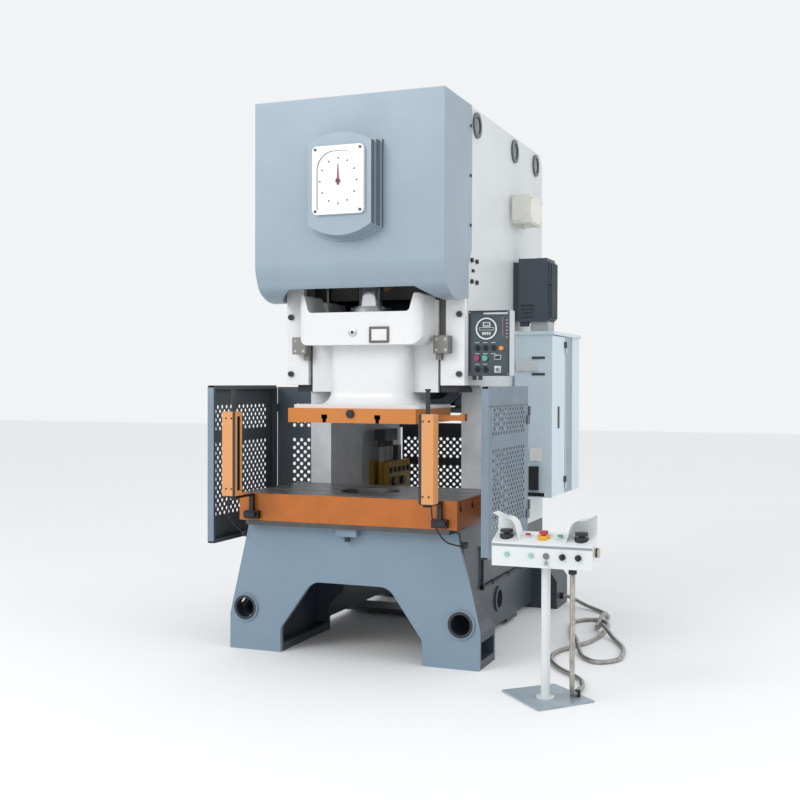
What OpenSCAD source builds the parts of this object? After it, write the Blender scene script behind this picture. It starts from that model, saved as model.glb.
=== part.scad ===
// Mechanical stamping press with an open front, one crank and two side plates.
// It stands on four anchor bolts and has a two-hand pedestal on a floor conduit.
// Inside the modules X runs across the press, Y back from the base front plate, Z up from the floor.

/* [Frame] */
// Distance between the outer faces of the two side plates
frame_width = 1124; // [1120:2:1126]
// Thickness of each side plate
side_thickness = 60; // [56:1:60]
// Bore of the lifting and access holes in the plates
lifting_hole_d = 100; // [80:5:110]
// Spacing of the anchor bolts across the press
anchor_span_x = 1200; // [1180:10:1230]
// Spacing of the anchor bolts front to back
anchor_span_y = 1800; // [1780:10:1820]
// Hole for one anchor bolt
anchor_hole_d = 33; // [26:1:45]

/* [Bolster] */
// Width of the bolster
bolster_width = 1301; // [1290:1:1320]
// Thickness of the bolster
bolster_thickness = 154; // [140:2:156]
// Round drop opening through bolster and bed plate
drop_opening_d = 350; // [240:10:370]
// Neck width of every T-slot
slot_neck = 22; // [18:1:26]
// Head width of every T-slot
slot_head = 36; // [32:1:42]

/* [Slide and drive] */
// Full stroke of the slide
slide_stroke = 160; // [140:10:160]
// Thickness of the slide plate
slide_plate_thickness = 80; // [70:5:80]
// Bore for the punch holder shank
shank_hole_d = 60; // [50:5:65]
// Diameter of the adjusting screw
screw_d = 150; // [140:2:150]
// Diameter of the crank pin
crank_pin_d = 200; // [180:5:200]
// Outer diameter of the flywheel
flywheel_d = 840; // [780:10:860]
// Radial play of every turning fit
running_play = 0.05; // [0.03:0.01:0.09]

/* [Guards and stand] */
// Hole in the perforated guards
guard_hole_d = 22; // [18:1:24]
// Outer diameter of the floor conduit
conduit_d = 25; // [20:1:26]
// Head diameter of the two palm buttons
palm_button_d = 62; // [50:2:70]

/* [Hidden] */
$fn = 64;
arc_steps = 8;
neck_flare = 72;

// paint and metal tones
white = [0.94, 0.95, 0.95];
pale_grey = [0.83, 0.86, 0.87];
blue_grey = [0.55, 0.64, 0.71];
cover_blue = [0.68, 0.75, 0.81];
slate = [0.26, 0.31, 0.35];
orange = [0.80, 0.48, 0.24];
steel = [0.62, 0.63, 0.64];
dark = [0.12, 0.13, 0.14];
beige = [0.86, 0.84, 0.78];
red = [0.75, 0.10, 0.08];
green = [0.10, 0.50, 0.20];
yellow = [0.90, 0.75, 0.10];

// frame levels and depths
side_outer = frame_width / 2;
side_inner = side_outer - side_thickness;
anchor_front_inset = 155;
foot_thickness = 45;
bed_level = 727;
bed_plate_top = 752;
bolster_top = bed_plate_top + bolster_thickness;
throat_y = 690;
throat_top = 1516;
cheek_y0 = 329;
cheek_y1 = 369;
crown_floor = 1560;
shelf_level = 2240;
wall_level = 2262;
cover_top = 3100;
cover_sheet = 3.5;
side_top = cover_top - cover_sheet;
lifting_holes = [[513, 3005], [1303, 3005], [1821, 3005]];

// slide and drive line
axis_y = 300;
crank_z = 2615;
throw = slide_stroke / 2;
crank_pin_z = crank_z + throw;
slide_bottom = 1386;
slide_y0 = 9;
slide_y1 = 589;
slide_half = 385;
way_half = 394;
way_play = 0.05;
module_size = 12;
gear_teeth = 64;
pinion_teeth = 16;
pinion_z = crank_z - module_size * (gear_teeth + pinion_teeth) / 2;
motor_z = 1520;
pulley_d = 180;
journal_front_d = 150;
journal_main_d = 190;
journal_rear_d = 160;
pinion_shaft_d = 90;
flywheel_seat_d = 120;
motor_shaft_d = 60;
bush_wall = 20;

// outline helpers: each corner is [x, y] or [x, y, rounding radius]
function unit(v) = v / norm(v);
function bend(a, b, c, r) = let (
  u = unit(a - b),
  v = unit(c - b),
  t = r / tan(acos(u * v) / 2),
  m = b + unit(u + v) * norm([t, r])
) [for (k = [0 : arc_steps])
  m + r * unit((b + u * t - m) * (1 - k / arc_steps) + (b + v * t - m) * (k / arc_steps))];
function flat(p) = [p[0], p[1]];
function soft(p) = let (n = len(p)) [for (i = [0 : n - 1])
  each len(p[i]) > 2 ? bend(flat(p[(i + n - 1) % n]), flat(p[i]), flat(p[(i + 1) % n]), p[i][2])
    : [p[i]]];
function side_step(p, i, t) = let (
  a = p[max(i - 1, 0)],
  b = p[min(i + 1, len(p) - 1)],
  d = unit(b - a)
) p[i] + t * [-d[1], d[0]];
// a sheet of thickness t laid along an open path
function sheet_path(p, t) = concat(p, [for (i = [len(p) - 1 : -1 : 0]) side_step(p, i, t)]);
function box_points(x0, x1, y0, y1, r) = [[x0, y0, r], [x1, y0, r], [x1, y1, r], [x0, y1, r]];

module block(x, y, z) translate([x[0], y[0], z[0]]) cube([x[1] - x[0], y[1] - y[0], z[1] - z[0]]);
// an X-Z outline given thickness along Y
module y_plate(y0, y1) translate([0, y1, 0]) rotate([90, 0, 0]) linear_extrude(y1 - y0) children();
// a Y-Z outline given thickness along X
module x_plate(x0, x1) translate([x0, 0, 0]) rotate([90, 0, 90]) linear_extrude(x1 - x0) children();
// an X-Y outline given thickness along Z
module z_plate(z0, z1) translate([0, 0, z0]) linear_extrude(z1 - z0) children();
module y_rod(x, z, y0, y1, d) translate([x, y1, z]) rotate([90, 0, 0]) cylinder(d = d, h = y1 - y0);
module x_rod(y, z, x0, x1, d) translate([x0, y, z]) rotate([0, 90, 0]) cylinder(d = d, h = x1 - x0);
module z_rod(x, y, z0, z1, d) translate([x, y, z0]) cylinder(d = d, h = z1 - z0);
module both_sides() {
  children();
  mirror([1, 0, 0]) children();
}
// moves the measured layout so that the anchor pattern is centred on the origin
module placed() translate([0, -anchor_front_inset - anchor_span_y / 2, 0]) children();

// ---- frame ----

module side_outline() difference() {
  polygon(soft([[40, foot_thickness], [2065, foot_thickness], [2065, 1250], [2012, 1400],
    [2012, side_top, 90], [20, side_top], [20, shelf_level], [cheek_y1, shelf_level],
    [cheek_y1, throat_top], [throat_y, throat_top, 120], [throat_y, bed_level, 15],
    [40, bed_level]]));
  for (p = lifting_holes) translate(p) circle(d = lifting_hole_d);
  translate([980, 205]) circle(d = lifting_hole_d + 10);
}

// side plate with its ring bosses and the box column behind the throat
module frame_side() placed() {
  x_plate(side_inner, side_outer) side_outline();
  for (p = lifting_holes) x_plate(side_outer, side_outer + 12) ring_outline(p, lifting_hole_d);
  x_plate(side_outer, side_outer + 12) ring_outline([980, 205], lifting_hole_d + 10);
  block([425, side_outer], [671, throat_y], [bed_level, throat_top]);
  block([425, side_inner], [671, throat_y], [throat_top, crown_floor]);
  block([425, 445], [throat_y, 1155], [bed_level, crown_floor]);
  block([445, side_inner], [1135, 1155], [bed_level, crown_floor]);
}
module ring_outline(p, d) translate(p) difference() {
  circle(d = d + 46);
  circle(d = d);
}
module frame_side_right() color(pale_grey) frame_side();
module frame_side_left() color(pale_grey) mirror([1, 0, 0]) frame_side();

arch = [[-428, -1], [428, -1], [428, 138, 50], [232, 412, 100], [-232, 412, 100], [-428, 138, 50]];

// front weldment: face plate, legs open to the inside and outside, foot slabs and rear plate
module base_front() color(blue_grey) placed() difference() {
  union() {
    y_plate(0, 40) difference() {
      polygon([[-751, 0], [751, 0], [751, 201], [639, 681], [630, bed_level], [-630, bed_level],
        [-639, 681], [-751, 201]]);
      polygon(soft(arch));
    }
    y_plate(645, 670) difference() {
      polygon([[-side_inner, 0], [side_inner, 0], [side_inner, bed_level], [-side_inner, bed_level]]);
      polygon(soft(arch));
    }
    both_sides() {
      y_plate(40.3, 264.7) polygon([[side_outer, 457], [751, 188], [751, 144], [side_outer, 413]]);
      y_plate(265, 290) polygon([[side_outer, 457], [751, 188], [751, foot_thickness + 0.3],
        [side_outer, foot_thickness + 0.3]]);
      block([428, 751], [40, 290], [0, foot_thickness]);
      block([428, side_outer], [290, 670], [0, foot_thickness]);
      y_plate(-12, 0) ring_outline([649, 241], lifting_hole_d + 10);
    }
  }
  both_sides() {
    y_rod(649, 241, -20, 60, lifting_hole_d + 10);
    z_rod(anchor_span_x / 2, anchor_front_inset, -1, 60, anchor_hole_d);
  }
}

// rear foot with hollow legs, floor tie plate and rear wall of the lower frame
module base_cross_members() color(slate) placed() difference() {
  union() {
    block([-730, 730], [1810, 2112], [0, foot_thickness]);
    both_sides() {
      y_plate(1835, 2112) polygon([[side_outer, 421], [730, 185], [730, 141], [side_outer, 377]]);
      y_plate(1835, 2112) polygon([[705, foot_thickness + 0.3], [730, foot_thickness + 0.3],
        [730, 140.6], [705, 175.7]]);
      y_plate(1810, 1834.7) polygon([[side_outer, 421], [730, 185], [730, foot_thickness + 0.3],
        [side_outer, foot_thickness + 0.3]]);
    }
    block([-side_outer, side_outer], [1180, 1406], [20, foot_thickness]);
    block([-side_inner, side_inner], [2022, 2047], [420, 740]);
  }
  both_sides() z_rod(anchor_span_x / 2, anchor_front_inset + anchor_span_y, -1, 60, anchor_hole_d);
}

module bed_plate() color(dark) placed() difference() {
  block([-608, 608], [-74, 671], [bed_level, bed_plate_top]);
  z_rod(0, axis_y, bed_level - 1, bed_plate_top + 1, drop_opening_d);
  both_sides() block([425, 609], [670.7, 700], [bed_level - 1, bed_plate_top + 1]);
}

// T-slot cross-section: neck at the open face, head below it
module slot_outline(neck_depth, head_depth) {
  translate([-slot_neck / 2, -neck_depth - 1]) square([slot_neck, neck_depth + 2]);
  translate([-slot_head / 2, -neck_depth - head_depth]) square([slot_head, head_depth]);
}
bolster_slots = [-12, 192, 408, 612];
module bolster() color(orange) placed() difference() {
  block([-bolster_width / 2, bolster_width / 2], [-72, 670.7], [bed_plate_top, bolster_top]);
  for (y = bolster_slots) x_plate(-bolster_width / 2 - 1, bolster_width / 2 + 1)
    translate([y, bolster_top]) slot_outline(36, 24);
  z_rod(0, axis_y, bed_plate_top - 1, bolster_top + 1, drop_opening_d);
}

// ---- crown ----

// front cheeks beside the slide and the shelves above them
module crown_front_plate() color(white) placed() both_sides() {
  y_plate(cheek_y0, cheek_y1) polygon([[414, throat_top], [556, throat_top], [556, shelf_level],
    [445, shelf_level], [445, 1720], [414, 1720]]);
  block([300, side_inner], [20, cheek_y1], [shelf_level, wall_level]);
}

module square_wall(z0, z1) polygon([[-side_inner, z0], [side_inner, z0], [side_inner, z1],
  [-side_inner, z1]]);
module bore_at(z, d) translate([0, z]) circle(d = d + 2 * bush_wall);
// walls that carry the shafts, floor plate over the columns and top plate
module crown_bulkhead() color(pale_grey) placed() {
  y_plate(20, 80) difference() {
    square_wall(wall_level, 3070);
    bore_at(crank_z, journal_front_d);
  }
  y_plate(520, 580) difference() {
    polygon([[-355, 2020], [355, 2020], [355, 2131], [side_inner, 2131], [side_inner, 3070],
      [-side_inner, 3070], [-side_inner, 2131], [-355, 2131]]);
    bore_at(crank_z, journal_main_d);
    bore_at(pinion_z, pinion_shaft_d);
  }
  y_plate(930, 990) difference() {
    square_wall(crown_floor + 20, 3070);
    bore_at(crank_z, journal_rear_d);
    bore_at(pinion_z, flywheel_seat_d);
  }
  y_plate(1560, 1600) difference() {
    square_wall(1900, 3070);
    bore_at(pinion_z, pinion_shaft_d);
  }
  block([-side_inner, side_inner], [671, 1155], [crown_floor, crown_floor + 20]);
  block([-side_inner, side_inner], [20, 1990], [3070, side_top]);
}

// slide ways with a tongue each, and the screwed guide blocks on the cheeks
module slide_gibs() color(steel) placed() both_sides() {
  block([way_half, side_inner], [cheek_y1, 640], [1476, 2130]);
  block([360, way_half], [470, 530], [1476, 2130]);
  difference() {
    block([396, 484], [255, cheek_y0], [1695, 1795]);
    for (x = [414, 466], z = [1715, 1775]) y_rod(x, z, 250, 265, 16);
  }
  block([396, 430], [296, cheek_y0], [1660, 1694.7]);
}

// ---- front cover and dial ----

lip_path = [for (p = soft([[-47, 2300], [-47, 2150, 200], [-2, 2050, 110], [90, 1992, 260],
  [189, 1987]])) if (p != [-47, 2300]) p];
cover_front_y = -47;

// folded cover: front sheet, rounded lip with the slide notch, sides and top
module front_cover() color(cover_blue) placed() difference() {
  union() {
    block([-566, 566], [cover_front_y, cover_front_y + cover_sheet], [2198, cover_top]);
    x_plate(-566, 566) polygon(sheet_path(concat([[cover_front_y, 2199]], lip_path), cover_sheet));
    block([-566, 566], [cover_front_y, 425], [side_top, cover_top]);
    both_sides() x_plate(side_outer + 0.5, 566)
      polygon(concat([[cover_front_y, cover_top], [cover_front_y, 2199]], lip_path,
        [[370, 2009], [370, 2200], [425, 2290], [425, 3072], [400, cover_top]]));
  }
  y_plate(-60, 240) polygon(soft([[-486, 1900], [486, 1900], [486, 1988], [376, 2053, 20],
    [-376, 2053, 20], [-486, 1988]]));
  y_rod(0, crank_z, -60, 0, 24);
}

// dial housing outline: straight sides with an arched top and bottom
function arched(w, z0, z1, rise0, rise1) = concat(
  [for (k = [0 : 12]) let (x = w * (k / 6 - 1)) [x, z0 - rise0 * (1 - pow(x / w, 2))]],
  [for (k = [0 : 12]) let (x = w * (1 - k / 6)) [x, z1 + rise1 * (1 - pow(x / w, 2))]]);
module dial_housing() color(cover_blue) placed() difference() {
  union() {
    y_plate(-62, cover_front_y) polygon(arched(214, 2366, 2845, 63, 53));
    y_plate(-112, -62) polygon(arched(200, 2376, 2836, 58, 50));
    y_plate(-150, -112) polygon(arched(188, 2384, 2828, 60, 52));
  }
  y_rod(0, crank_z, -151, -40, 24);
}

dial_window = [[-124, 2459, 14], [124, 2459, 14], [124, 2680, 110], [124, 2777, 90],
  [-124, 2777, 90], [-124, 2680, 110]];
// dial plate with an arched recess, twelve ticks and corner screws
module dial_face() color(white) placed() {
  difference() {
    y_plate(-170, -150) polygon(soft(box_points(-151, 151, 2436, 2805, 26)));
    y_plate(-171, -162) polygon(soft([[-124, 2459, 14], [124, 2459, 14], [124, 2777, 100],
      [-124, 2777, 100]]));
    y_rod(0, crank_z, -171, -149, 16 + 2 * running_play);
  }
  for (a = [0 : 30 : 330]) translate([0, 0, crank_z]) rotate([0, a, 0])
    block([-2, 2], [-163, -162], [96, 110]);
  for (x = [-132, 132], z = [2454, 2787]) y_rod(x, z, -174, -170, 16);
}
module dial_pointer() color(red) placed() {
  y_rod(0, crank_z, -168, 20, 16);
  y_rod(0, crank_z, -170, -165, 26);
  y_plate(-169, -166) polygon([[-6, crank_z - 22], [6, crank_z - 22], [1, crank_z + 90],
    [-1, crank_z + 90]]);
}

// ---- drive ----

// gear outline with straight flanks, thinner than the gap it runs in
module gear_outline(teeth, phase) {
  step = 360 / teeth;
  pitch_r = module_size * teeth / 2;
  rows = [for (i = [0 : teeth - 1]) each [
    [pitch_r - 15, -10.5 / pitch_r * 180 / PI + (i + phase) * step],
    [pitch_r + 11, -4 / pitch_r * 180 / PI + (i + phase) * step],
    [pitch_r + 11, 4 / pitch_r * 180 / PI + (i + phase) * step],
    [pitch_r - 15, 10.5 / pitch_r * 180 / PI + (i + phase) * step]]];
  polygon([for (p = rows) p[0] * [cos(p[1]), sin(p[1])]]);
}
module main_gear() color(steel) placed() y_plate(680, 810) translate([0, crank_z]) difference() {
  gear_outline(gear_teeth, 0);
  circle(d = 180);
  for (a = [30 : 60 : 330]) rotate(a) translate([235, 0]) circle(d = 130);
}

// crankshaft turned from its front journal, webs, eccentric pin and rear journals
module crankshaft() color(steel) placed() {
  y_rod(0, crank_z, 20, 165, journal_front_d);
  y_rod(0, crank_z, 165, 222, 370);
  y_rod(0, crank_pin_z, 222, 378, crank_pin_d);
  y_rod(0, crank_z, 378, 440, 370);
  y_rod(0, crank_z, 440, 660, journal_main_d);
  y_rod(0, crank_z, 660, 680, 200);
  y_rod(0, crank_z, 680, 810, 180);
  y_rod(0, crank_z, 810, 1000, journal_rear_d);
}

// connecting rod: split big end, shank and the barrel that takes the adjusting screw
module connecting_rod() color(steel) placed() difference() {
  union() {
    y_rod(0, crank_pin_z, 224, 376, crank_pin_d + 120);
    block([-95, 95], [236, 364], [2225, crank_pin_z]);
    z_rod(0, axis_y, 2098, 2126, 216);
    z_rod(0, axis_y, 2126, 2240, 190);
    for (s = [-1, 1]) block([s * 150 - 22, s * 150 + 22], [240, 360], [crank_pin_z - 60, crank_pin_z + 60]);
  }
  y_rod(0, crank_pin_z, 220, 380, crank_pin_d + 2 * running_play);
}

// pinion cut on its shaft, with the clutch and brake drum
module pinion_shaft() color(steel) placed() {
  y_rod(0, pinion_z, 510, 684, pinion_shaft_d);
  y_plate(684, 806) translate([0, pinion_z]) gear_outline(pinion_teeth, 0.5);
  y_rod(0, pinion_z, 806, 1230, flywheel_seat_d);
  y_rod(0, pinion_z, 1010, 1060, 420);
  y_rod(0, pinion_z, 1060, 1130, 360);
  y_rod(0, pinion_z, 1130, 1190, 420);
  y_rod(0, pinion_z, 1230, 1450, flywheel_seat_d);
  y_rod(0, pinion_z, 1450, 1610, pinion_shaft_d);
}
module flywheel() color(blue_grey) placed() difference() {
  y_rod(0, pinion_z, 1232, 1448, flywheel_d);
  translate([0, 1300, pinion_z]) rotate([90, 0, 0]) rotate_extrude()
    polygon([[110, -1], [flywheel_d / 2 - 70, -1], [flywheel_d / 2 - 70, 69], [110, 69]]);
  y_rod(0, pinion_z, 1231, 1449, flywheel_seat_d + 2 * running_play);
  for (y = [1280 : 40 : 1400]) translate([0, y, pinion_z]) rotate([90, 0, 0]) rotate_extrude()
    polygon([[flywheel_d / 2 - 8, -4], [flywheel_d / 2 + 5, -9], [flywheel_d / 2 + 5, 9],
      [flywheel_d / 2 - 8, 4]]);
}
module motor_rotor() color(dark) placed() {
  y_rod(0, motor_z, 1262, 1418, pulley_d);
  y_rod(0, motor_z, 1418, 1700, motor_shaft_d);
}
belt_rise = asin((flywheel_d - pulley_d) / 2 / (pinion_z - motor_z));
// belt loop tangent to flywheel and pulley, a distance g away from their rims
function belt_loop(g) = let (e = 1 / cos(4)) concat(
  [for (k = [0 : 1 : 30]) let (a = -belt_rise + k * (180 + 2 * belt_rise) / 30)
    [0, pinion_z] + (flywheel_d / 2 + g) * e * [cos(a), sin(a)]],
  [for (k = [0 : 1 : 16]) let (a = 180 + belt_rise + k * (180 - 2 * belt_rise) / 16)
    [0, motor_z] + (pulley_d / 2 + g) * e * [cos(a), sin(a)]]);
module drive_belts() color(dark) placed() for (y = [1268 : 40 : 1388])
  y_plate(y, y + 24) difference() {
    polygon(belt_loop(10));
    polygon(belt_loop(0.3));
  }
module motor() color(blue_grey) placed() {
  block([-side_inner, side_inner], [1470, 1985], [1330, 1360]);
  difference() {
    union() {
      y_rod(0, motor_z, 1480, 1900, 300);
      y_rod(0, motor_z, 1900, 1975, 280);
      for (s = [-1, 1]) block([s * 115 - 25, s * 115 + 25], [1540, 1840], [1360, 1470]);
      block([-55, 55], [1600, 1720], [1660, 1715]);
    }
    y_rod(0, motor_z, 1470, 1701, motor_shaft_d + 2 * running_play);
  }
}

module bush(z, y0, y1, d) y_plate(y0, y1) translate([0, z]) difference() {
  circle(d = d + 2 * bush_wall);
  circle(d = d + 2 * running_play);
}
module shaft_bearings() color([0.72, 0.53, 0.25]) placed() {
  bush(crank_z, 22, 95, journal_front_d);
  bush(crank_z, 500, 600, journal_main_d);
  bush(crank_z, 925, 995, journal_rear_d);
  bush(pinion_z, 515, 590, pinion_shaft_d);
  bush(pinion_z, 920, 1000, flywheel_seat_d);
  bush(pinion_z, 1555, 1605, pinion_shaft_d);
}

balancer_x = 345;
balancer_y = 450;
module balancer_cylinders() color(slate) placed() both_sides() {
  difference() {
    z_rod(balancer_x, balancer_y, 2150, 2470, 100);
    z_rod(balancer_x, balancer_y, 2170, 2450, 80);
    z_rod(balancer_x, balancer_y, 2149, 2171, 30 + 2 * running_play);
  }
  difference() {
    block([balancer_x, side_inner], [425, 475], [2300, 2400]);
    z_rod(balancer_x, balancer_y, 2299, 2401, 98);
  }
}

// ---- slide ----

rear_top = 2000;
module neck_profile() polygon([[0, 0], for (k = [0 : arc_steps])
  let (a = 270 - 90 * k / arc_steps) [90 + neck_flare * (1 + cos(a)), neck_flare * (1 + sin(a))],
  [90, 1730 - slide_bottom], [0, 1730 - slide_bottom]]);
// slide casting: horned head, round neck flared onto its foot, and the guided rear body
module slide_casting() color(white) placed() {
  intersection() {
    y_plate(105, 346) polygon(soft([[-375, 1742, 64], [375, 1742, 64], [375, 2026, 16], [334, 2026, 8],
      [305, 1926, 24], [-305, 1926, 24], [-334, 2026, 8], [-375, 2026, 16]]));
    z_plate(1700, 2050) polygon(soft([[-375, 105, 55], [375, 105, 55], [375, 346], [-375, 346]]));
  }
  z_plate(slide_bottom, slide_bottom + 20)
    polygon(soft([[-slide_half, 60, 30], [slide_half, 60, 30], [slide_half, slide_y1],
      [-slide_half, slide_y1]]));
  block([-153, 153], [298, 600], [slide_bottom + 19.9, 1749.9]);
  translate([0, 298, slide_bottom + 19.9]) rotate([90, 0, 0]) rotate([0, -90, 0])
    translate([0, 0, -153]) linear_extrude(306) neck_profile();
  both_sides() {
    translate([153, 0, slide_bottom + 19.9]) y_plate(298, 460) neck_profile();
    block([153, 243], [460, 600], [slide_bottom + 19.9, 1749.9]);
    translate([153, 298, slide_bottom + 19.9]) rotate([0, 0, -90]) rotate_extrude(angle = 90)
      neck_profile();
  }
  difference() {
    y_plate(345, 600) polygon([[-way_half + way_play, 1476], [way_half - way_play, 1476],
      [way_half - way_play, rear_top], [300, rear_top], [283, 1926], [-283, 1926],
      [-300, rear_top], [-way_half + way_play, rear_top]]);
    both_sides() block([360 - way_play, way_half + 1], [470 - way_play, 530 + way_play], [1470, 2010]);
  }
}

plate_bottom = slide_bottom - slide_plate_thickness;
module slide_plate() color(orange) placed() difference() {
  union() {
    block([-slide_half, slide_half], [slide_y0, slide_y1], [plate_bottom, slide_bottom]);
    block([slide_half + 0.3, 576], [282, 318], [1318, 1349]);
    block([546, 576], [276, 324], [1318, 1356]);
    y_rod(0, 1357, 0, slide_y0, 24);
  }
  for (x = [-160, 160]) y_plate(slide_y0 - 1, slide_y1 + 1)
    translate([x, plate_bottom]) mirror([0, 1]) slot_outline(22, 24);
  z_rod(0, axis_y, plate_bottom - 1, slide_bottom + 1, shank_hole_d);
}

// ball seat with its cap screws, gauge window, front boss and balance rods
module slide_fittings() color(steel) placed() {
  difference() {
    union() {
      z_rod(0, axis_y, 1926, 1952, 236);
      z_rod(0, axis_y, 1952, 1966, 200);
    }
    z_rod(0, axis_y, 1937, 1970, screw_d + 2 * running_play);
  }
  for (a = [30 : 60 : 330]) translate([0, axis_y, 0]) rotate(a) z_rod(110, 0, 1952, 1958, 12);
  y_rod(-30, 1812, 96, 105, 26);
  difference() {
    y_plate(97, 105) polygon(soft(box_points(72, 190, 1752, 1842, 4)));
    block([84, 178], [96, 101], [1764, 1830]);
  }
  both_sides() {
    z_rod(balancer_x, balancer_y, rear_top, 2420, 30);
    z_rod(balancer_x, balancer_y, 2420, 2440, 80 - 2 * running_play);
  }
}
module adjusting_screw() color([0.8, 0.81, 0.82]) placed() {
  z_rod(0, axis_y, 1937, 2068, screw_d);
  translate([0, axis_y, 2068]) cylinder(d1 = screw_d, d2 = screw_d - 20, h = 12);
}

// ---- guards ----

// staggered holes over a window of the given size
module hole_field(x0, x1, z0, z1) for (i = [0 : floor((x1 - x0) / 25)], j = [0 : floor((z1 - z0) / 25)])
  if ((i + j) % 2 == 0) translate([x0 + 25 * i, z0 + 25 * j]) circle(d = guard_hole_d, $fn = 24);

hinge_x = 834;
hinge_y = 680;
module hinge_bore(z0, z1) z_rod(hinge_x, hinge_y, z0, z1, 8 + 2 * running_play);
// folded perforated door with its skin outside
module guard_door() placed() difference() {
  union() {
    x_plate(831, 834) difference() {
      polygon(soft(box_points(-115, 665, 612, 1512, 12)));
      hole_field(-29, 575, 1262, 1388);
      hole_field(-29, 575, 770, 1172);
    }
    block([795, 831], [-115, -112], [624, 1500]);
    block([795, 831], [662, 665], [624, 1500]);
    block([795, 831], [-103, 653], [612, 615]);
    block([795, 831], [-103, 653], [1509, 1512]);
    block([795, 798], [-112, -92], [624, 1500]);
    block([795, 798], [642, 662], [624, 1500]);
    block([795, 798], [-103, 653], [615, 635]);
    block([795, 798], [-103, 653], [1489, 1509]);
    block([834, 838], [-100, 650], [1404, 1410]);
    for (z = [750, 1293]) {
      block([hinge_x - 8, hinge_x + 8], [665, hinge_y], [z + 1, z + 51]);
      block([hinge_x, hinge_x + 8], [625, 665], [z + 1, z + 51]);
      z_rod(hinge_x, hinge_y, z + 1, z + 51, 16);
    }
  }
  for (z = [750, 1293]) hinge_bore(z, z + 52);
}
module guard_door_right() color(blue_grey) guard_door();
module guard_door_left() color(blue_grey) mirror([1, 0, 0]) guard_door();

// wings beside the side plates, their hinge halves, and the perforated rear panel
module fixed_guards() color(blue_grey) placed() {
  both_sides() {
    y_plate(695, 698) difference() {
      polygon([[side_outer, 730], [808, 730], [808, 1502], [side_outer, 1502]]);
      hole_field(590, 693, 1262, 1388);
      hole_field(590, 693, 770, 1172);
    }
    block([side_outer, side_outer + 3], [698, 730], [730, 1502]);
    block([805, 808], [698, 722], [730, 1502]);
    for (z = [750, 1293]) {
      block([800, hinge_x + 8], [691, 695], [z + 52, z + 104]);
      block([hinge_x - 8, hinge_x + 8], [hinge_y, 691], [z + 52, z + 104]);
      z_rod(hinge_x, hinge_y, z + 52, z + 104, 16);
      z_rod(hinge_x, hinge_y, z - 2, z + 53, 8);
    }
  }
  y_plate(2047, 2050) difference() {
    polygon([[-488, 690], [488, 690], [488, 1240], [-488, 1240]]);
    hole_field(-463, 470, 775, 935);
    hole_field(-463, 470, 1000, 1135);
  }
  block([-488, 488], [2032, 2047], [1205, 1240]);
  for (s = [-1, 1]) block([s * 495 - 7, s * 495 + 7], [2032, 2050], [1205, 1240]);
}

// ---- light curtain ----

module light_curtain_posts() color(orange) placed() both_sides() {
  difference() {
    block([530, 611], [-335, -260], [912, 1370]);
    block([529, 546], [-312, -283], [940, 1345]);
    for (z = [1334, 950], x = [554, 587]) y_rod(x, z, -336, -331, 11);
  }
  z_rod(565, -290, 1370, 1490, 24);
  z_rod(565, -290, 1490, 1499, 30);
}
module light_curtain_brackets() color(dark) placed() both_sides() {
  block([516, 605], [-104, -72], [764, 808]);
  block([530, 600], [-122, -104], [776, 800]);
  block([548, 573], [-104, -80], [808, 894]);
  block([548, 573], [-312, -80], [894, 906]);
  block([538, 603], [-327, -268], [906, 912]);
  block([647.5, 676], [0, 38], [646, 678]);
}
lead_route = [[588, -298, 905.4], [588.5, -298.5, 880], [596, -300, 832], [604, -268, 784],
  [606, -200, 735], [612, -120, 694], [634, -58, 674], [655, -22, 663], [659, -0.9, 662]];
// free leads from the posts down to the plugs on the shoulders of the base
module sensor_leads() color(dark) placed() both_sides() sweep(smooth_path(lead_route), 8, 8);

// ---- boxes on the right side plate ----

panel_face = 382;
module operator_box() color(dark) placed() difference() {
  union() {
    block([side_outer, 803], [panel_face, 480], [1570, 1937]);
    block([side_outer, 803], [379, panel_face], [1570, 1576]);
    block([side_outer, 803], [379, panel_face], [1931, 1937]);
    block([797, 803], [379, panel_face], [1570, 1937]);
    y_plate(376, panel_face) translate([668, 1835]) difference() {
      circle(d = 124);
      circle(d = 108);
    }
    for (k = [0 : 5]) block([756, 778], [380, panel_face], [1782 + 19 * k, 1792 + 19 * k]);
    y_rod(755, 1724, 370, panel_face, 26);
    block([718, 752], [379, panel_face], [1662, 1686]);
    block([708, 762], [379, panel_face], [1580, 1632]);
    for (x = [588, 622]) z_rod(x, 420, 1546, 1570, 26);
  }
  block([side_outer - 1, 798], [388, 474], [1576, 1931]);
  for (p = panel_knobs) y_rod(p[0], p[1], 374, 440, 14 + 2 * running_play);
  for (p = panel_buttons) y_rod(p[0], p[1], 374, 440, 18 + 2 * running_play);
  y_rod(panel_key_at[0], panel_key_at[1], 374, 440, 14 + 2 * running_play);
}
panel_knobs = [[614, 1728], [661, 1728], [708, 1728], [614, 1607], [661, 1607]];
panel_buttons = [[614, 1670], [661, 1670]];
panel_key_at = [735, 1606];
// a round knob with a grip bar on a short spindle
module selector_knob(x, z, y, d) {
  y_rod(x, z, y - 10, y - 0.3, d);
  block([x - 4, x + 4], [y - 22, y - 10], [z - d / 2 + 1, z + d / 2 - 1]);
  y_rod(x, z, y - 1, y + 50, 14);
}
module key_switch(x, z, y) {
  y_rod(x, z, y - 8, y - 0.3, 24);
  block([x - 2, x + 2], [y - 38, y - 8], [z - 11, z + 11]);
  y_rod(x, z, y - 1, y + 50, 14);
}
module push_head(x, z, y, d) {
  y_rod(x, z, y - 14, y - 5, d);
  y_rod(x, z, y - 6, y + 46, 18);
}
module panel_selector(i) color(dark) placed()
  selector_knob(panel_knobs[i][0], panel_knobs[i][1], panel_face, 32);
module panel_selector_1() panel_selector(0);
module panel_selector_2() panel_selector(1);
module panel_selector_3() panel_selector(2);
module panel_selector_4() panel_selector(3);
module panel_selector_5() panel_selector(4);
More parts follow.
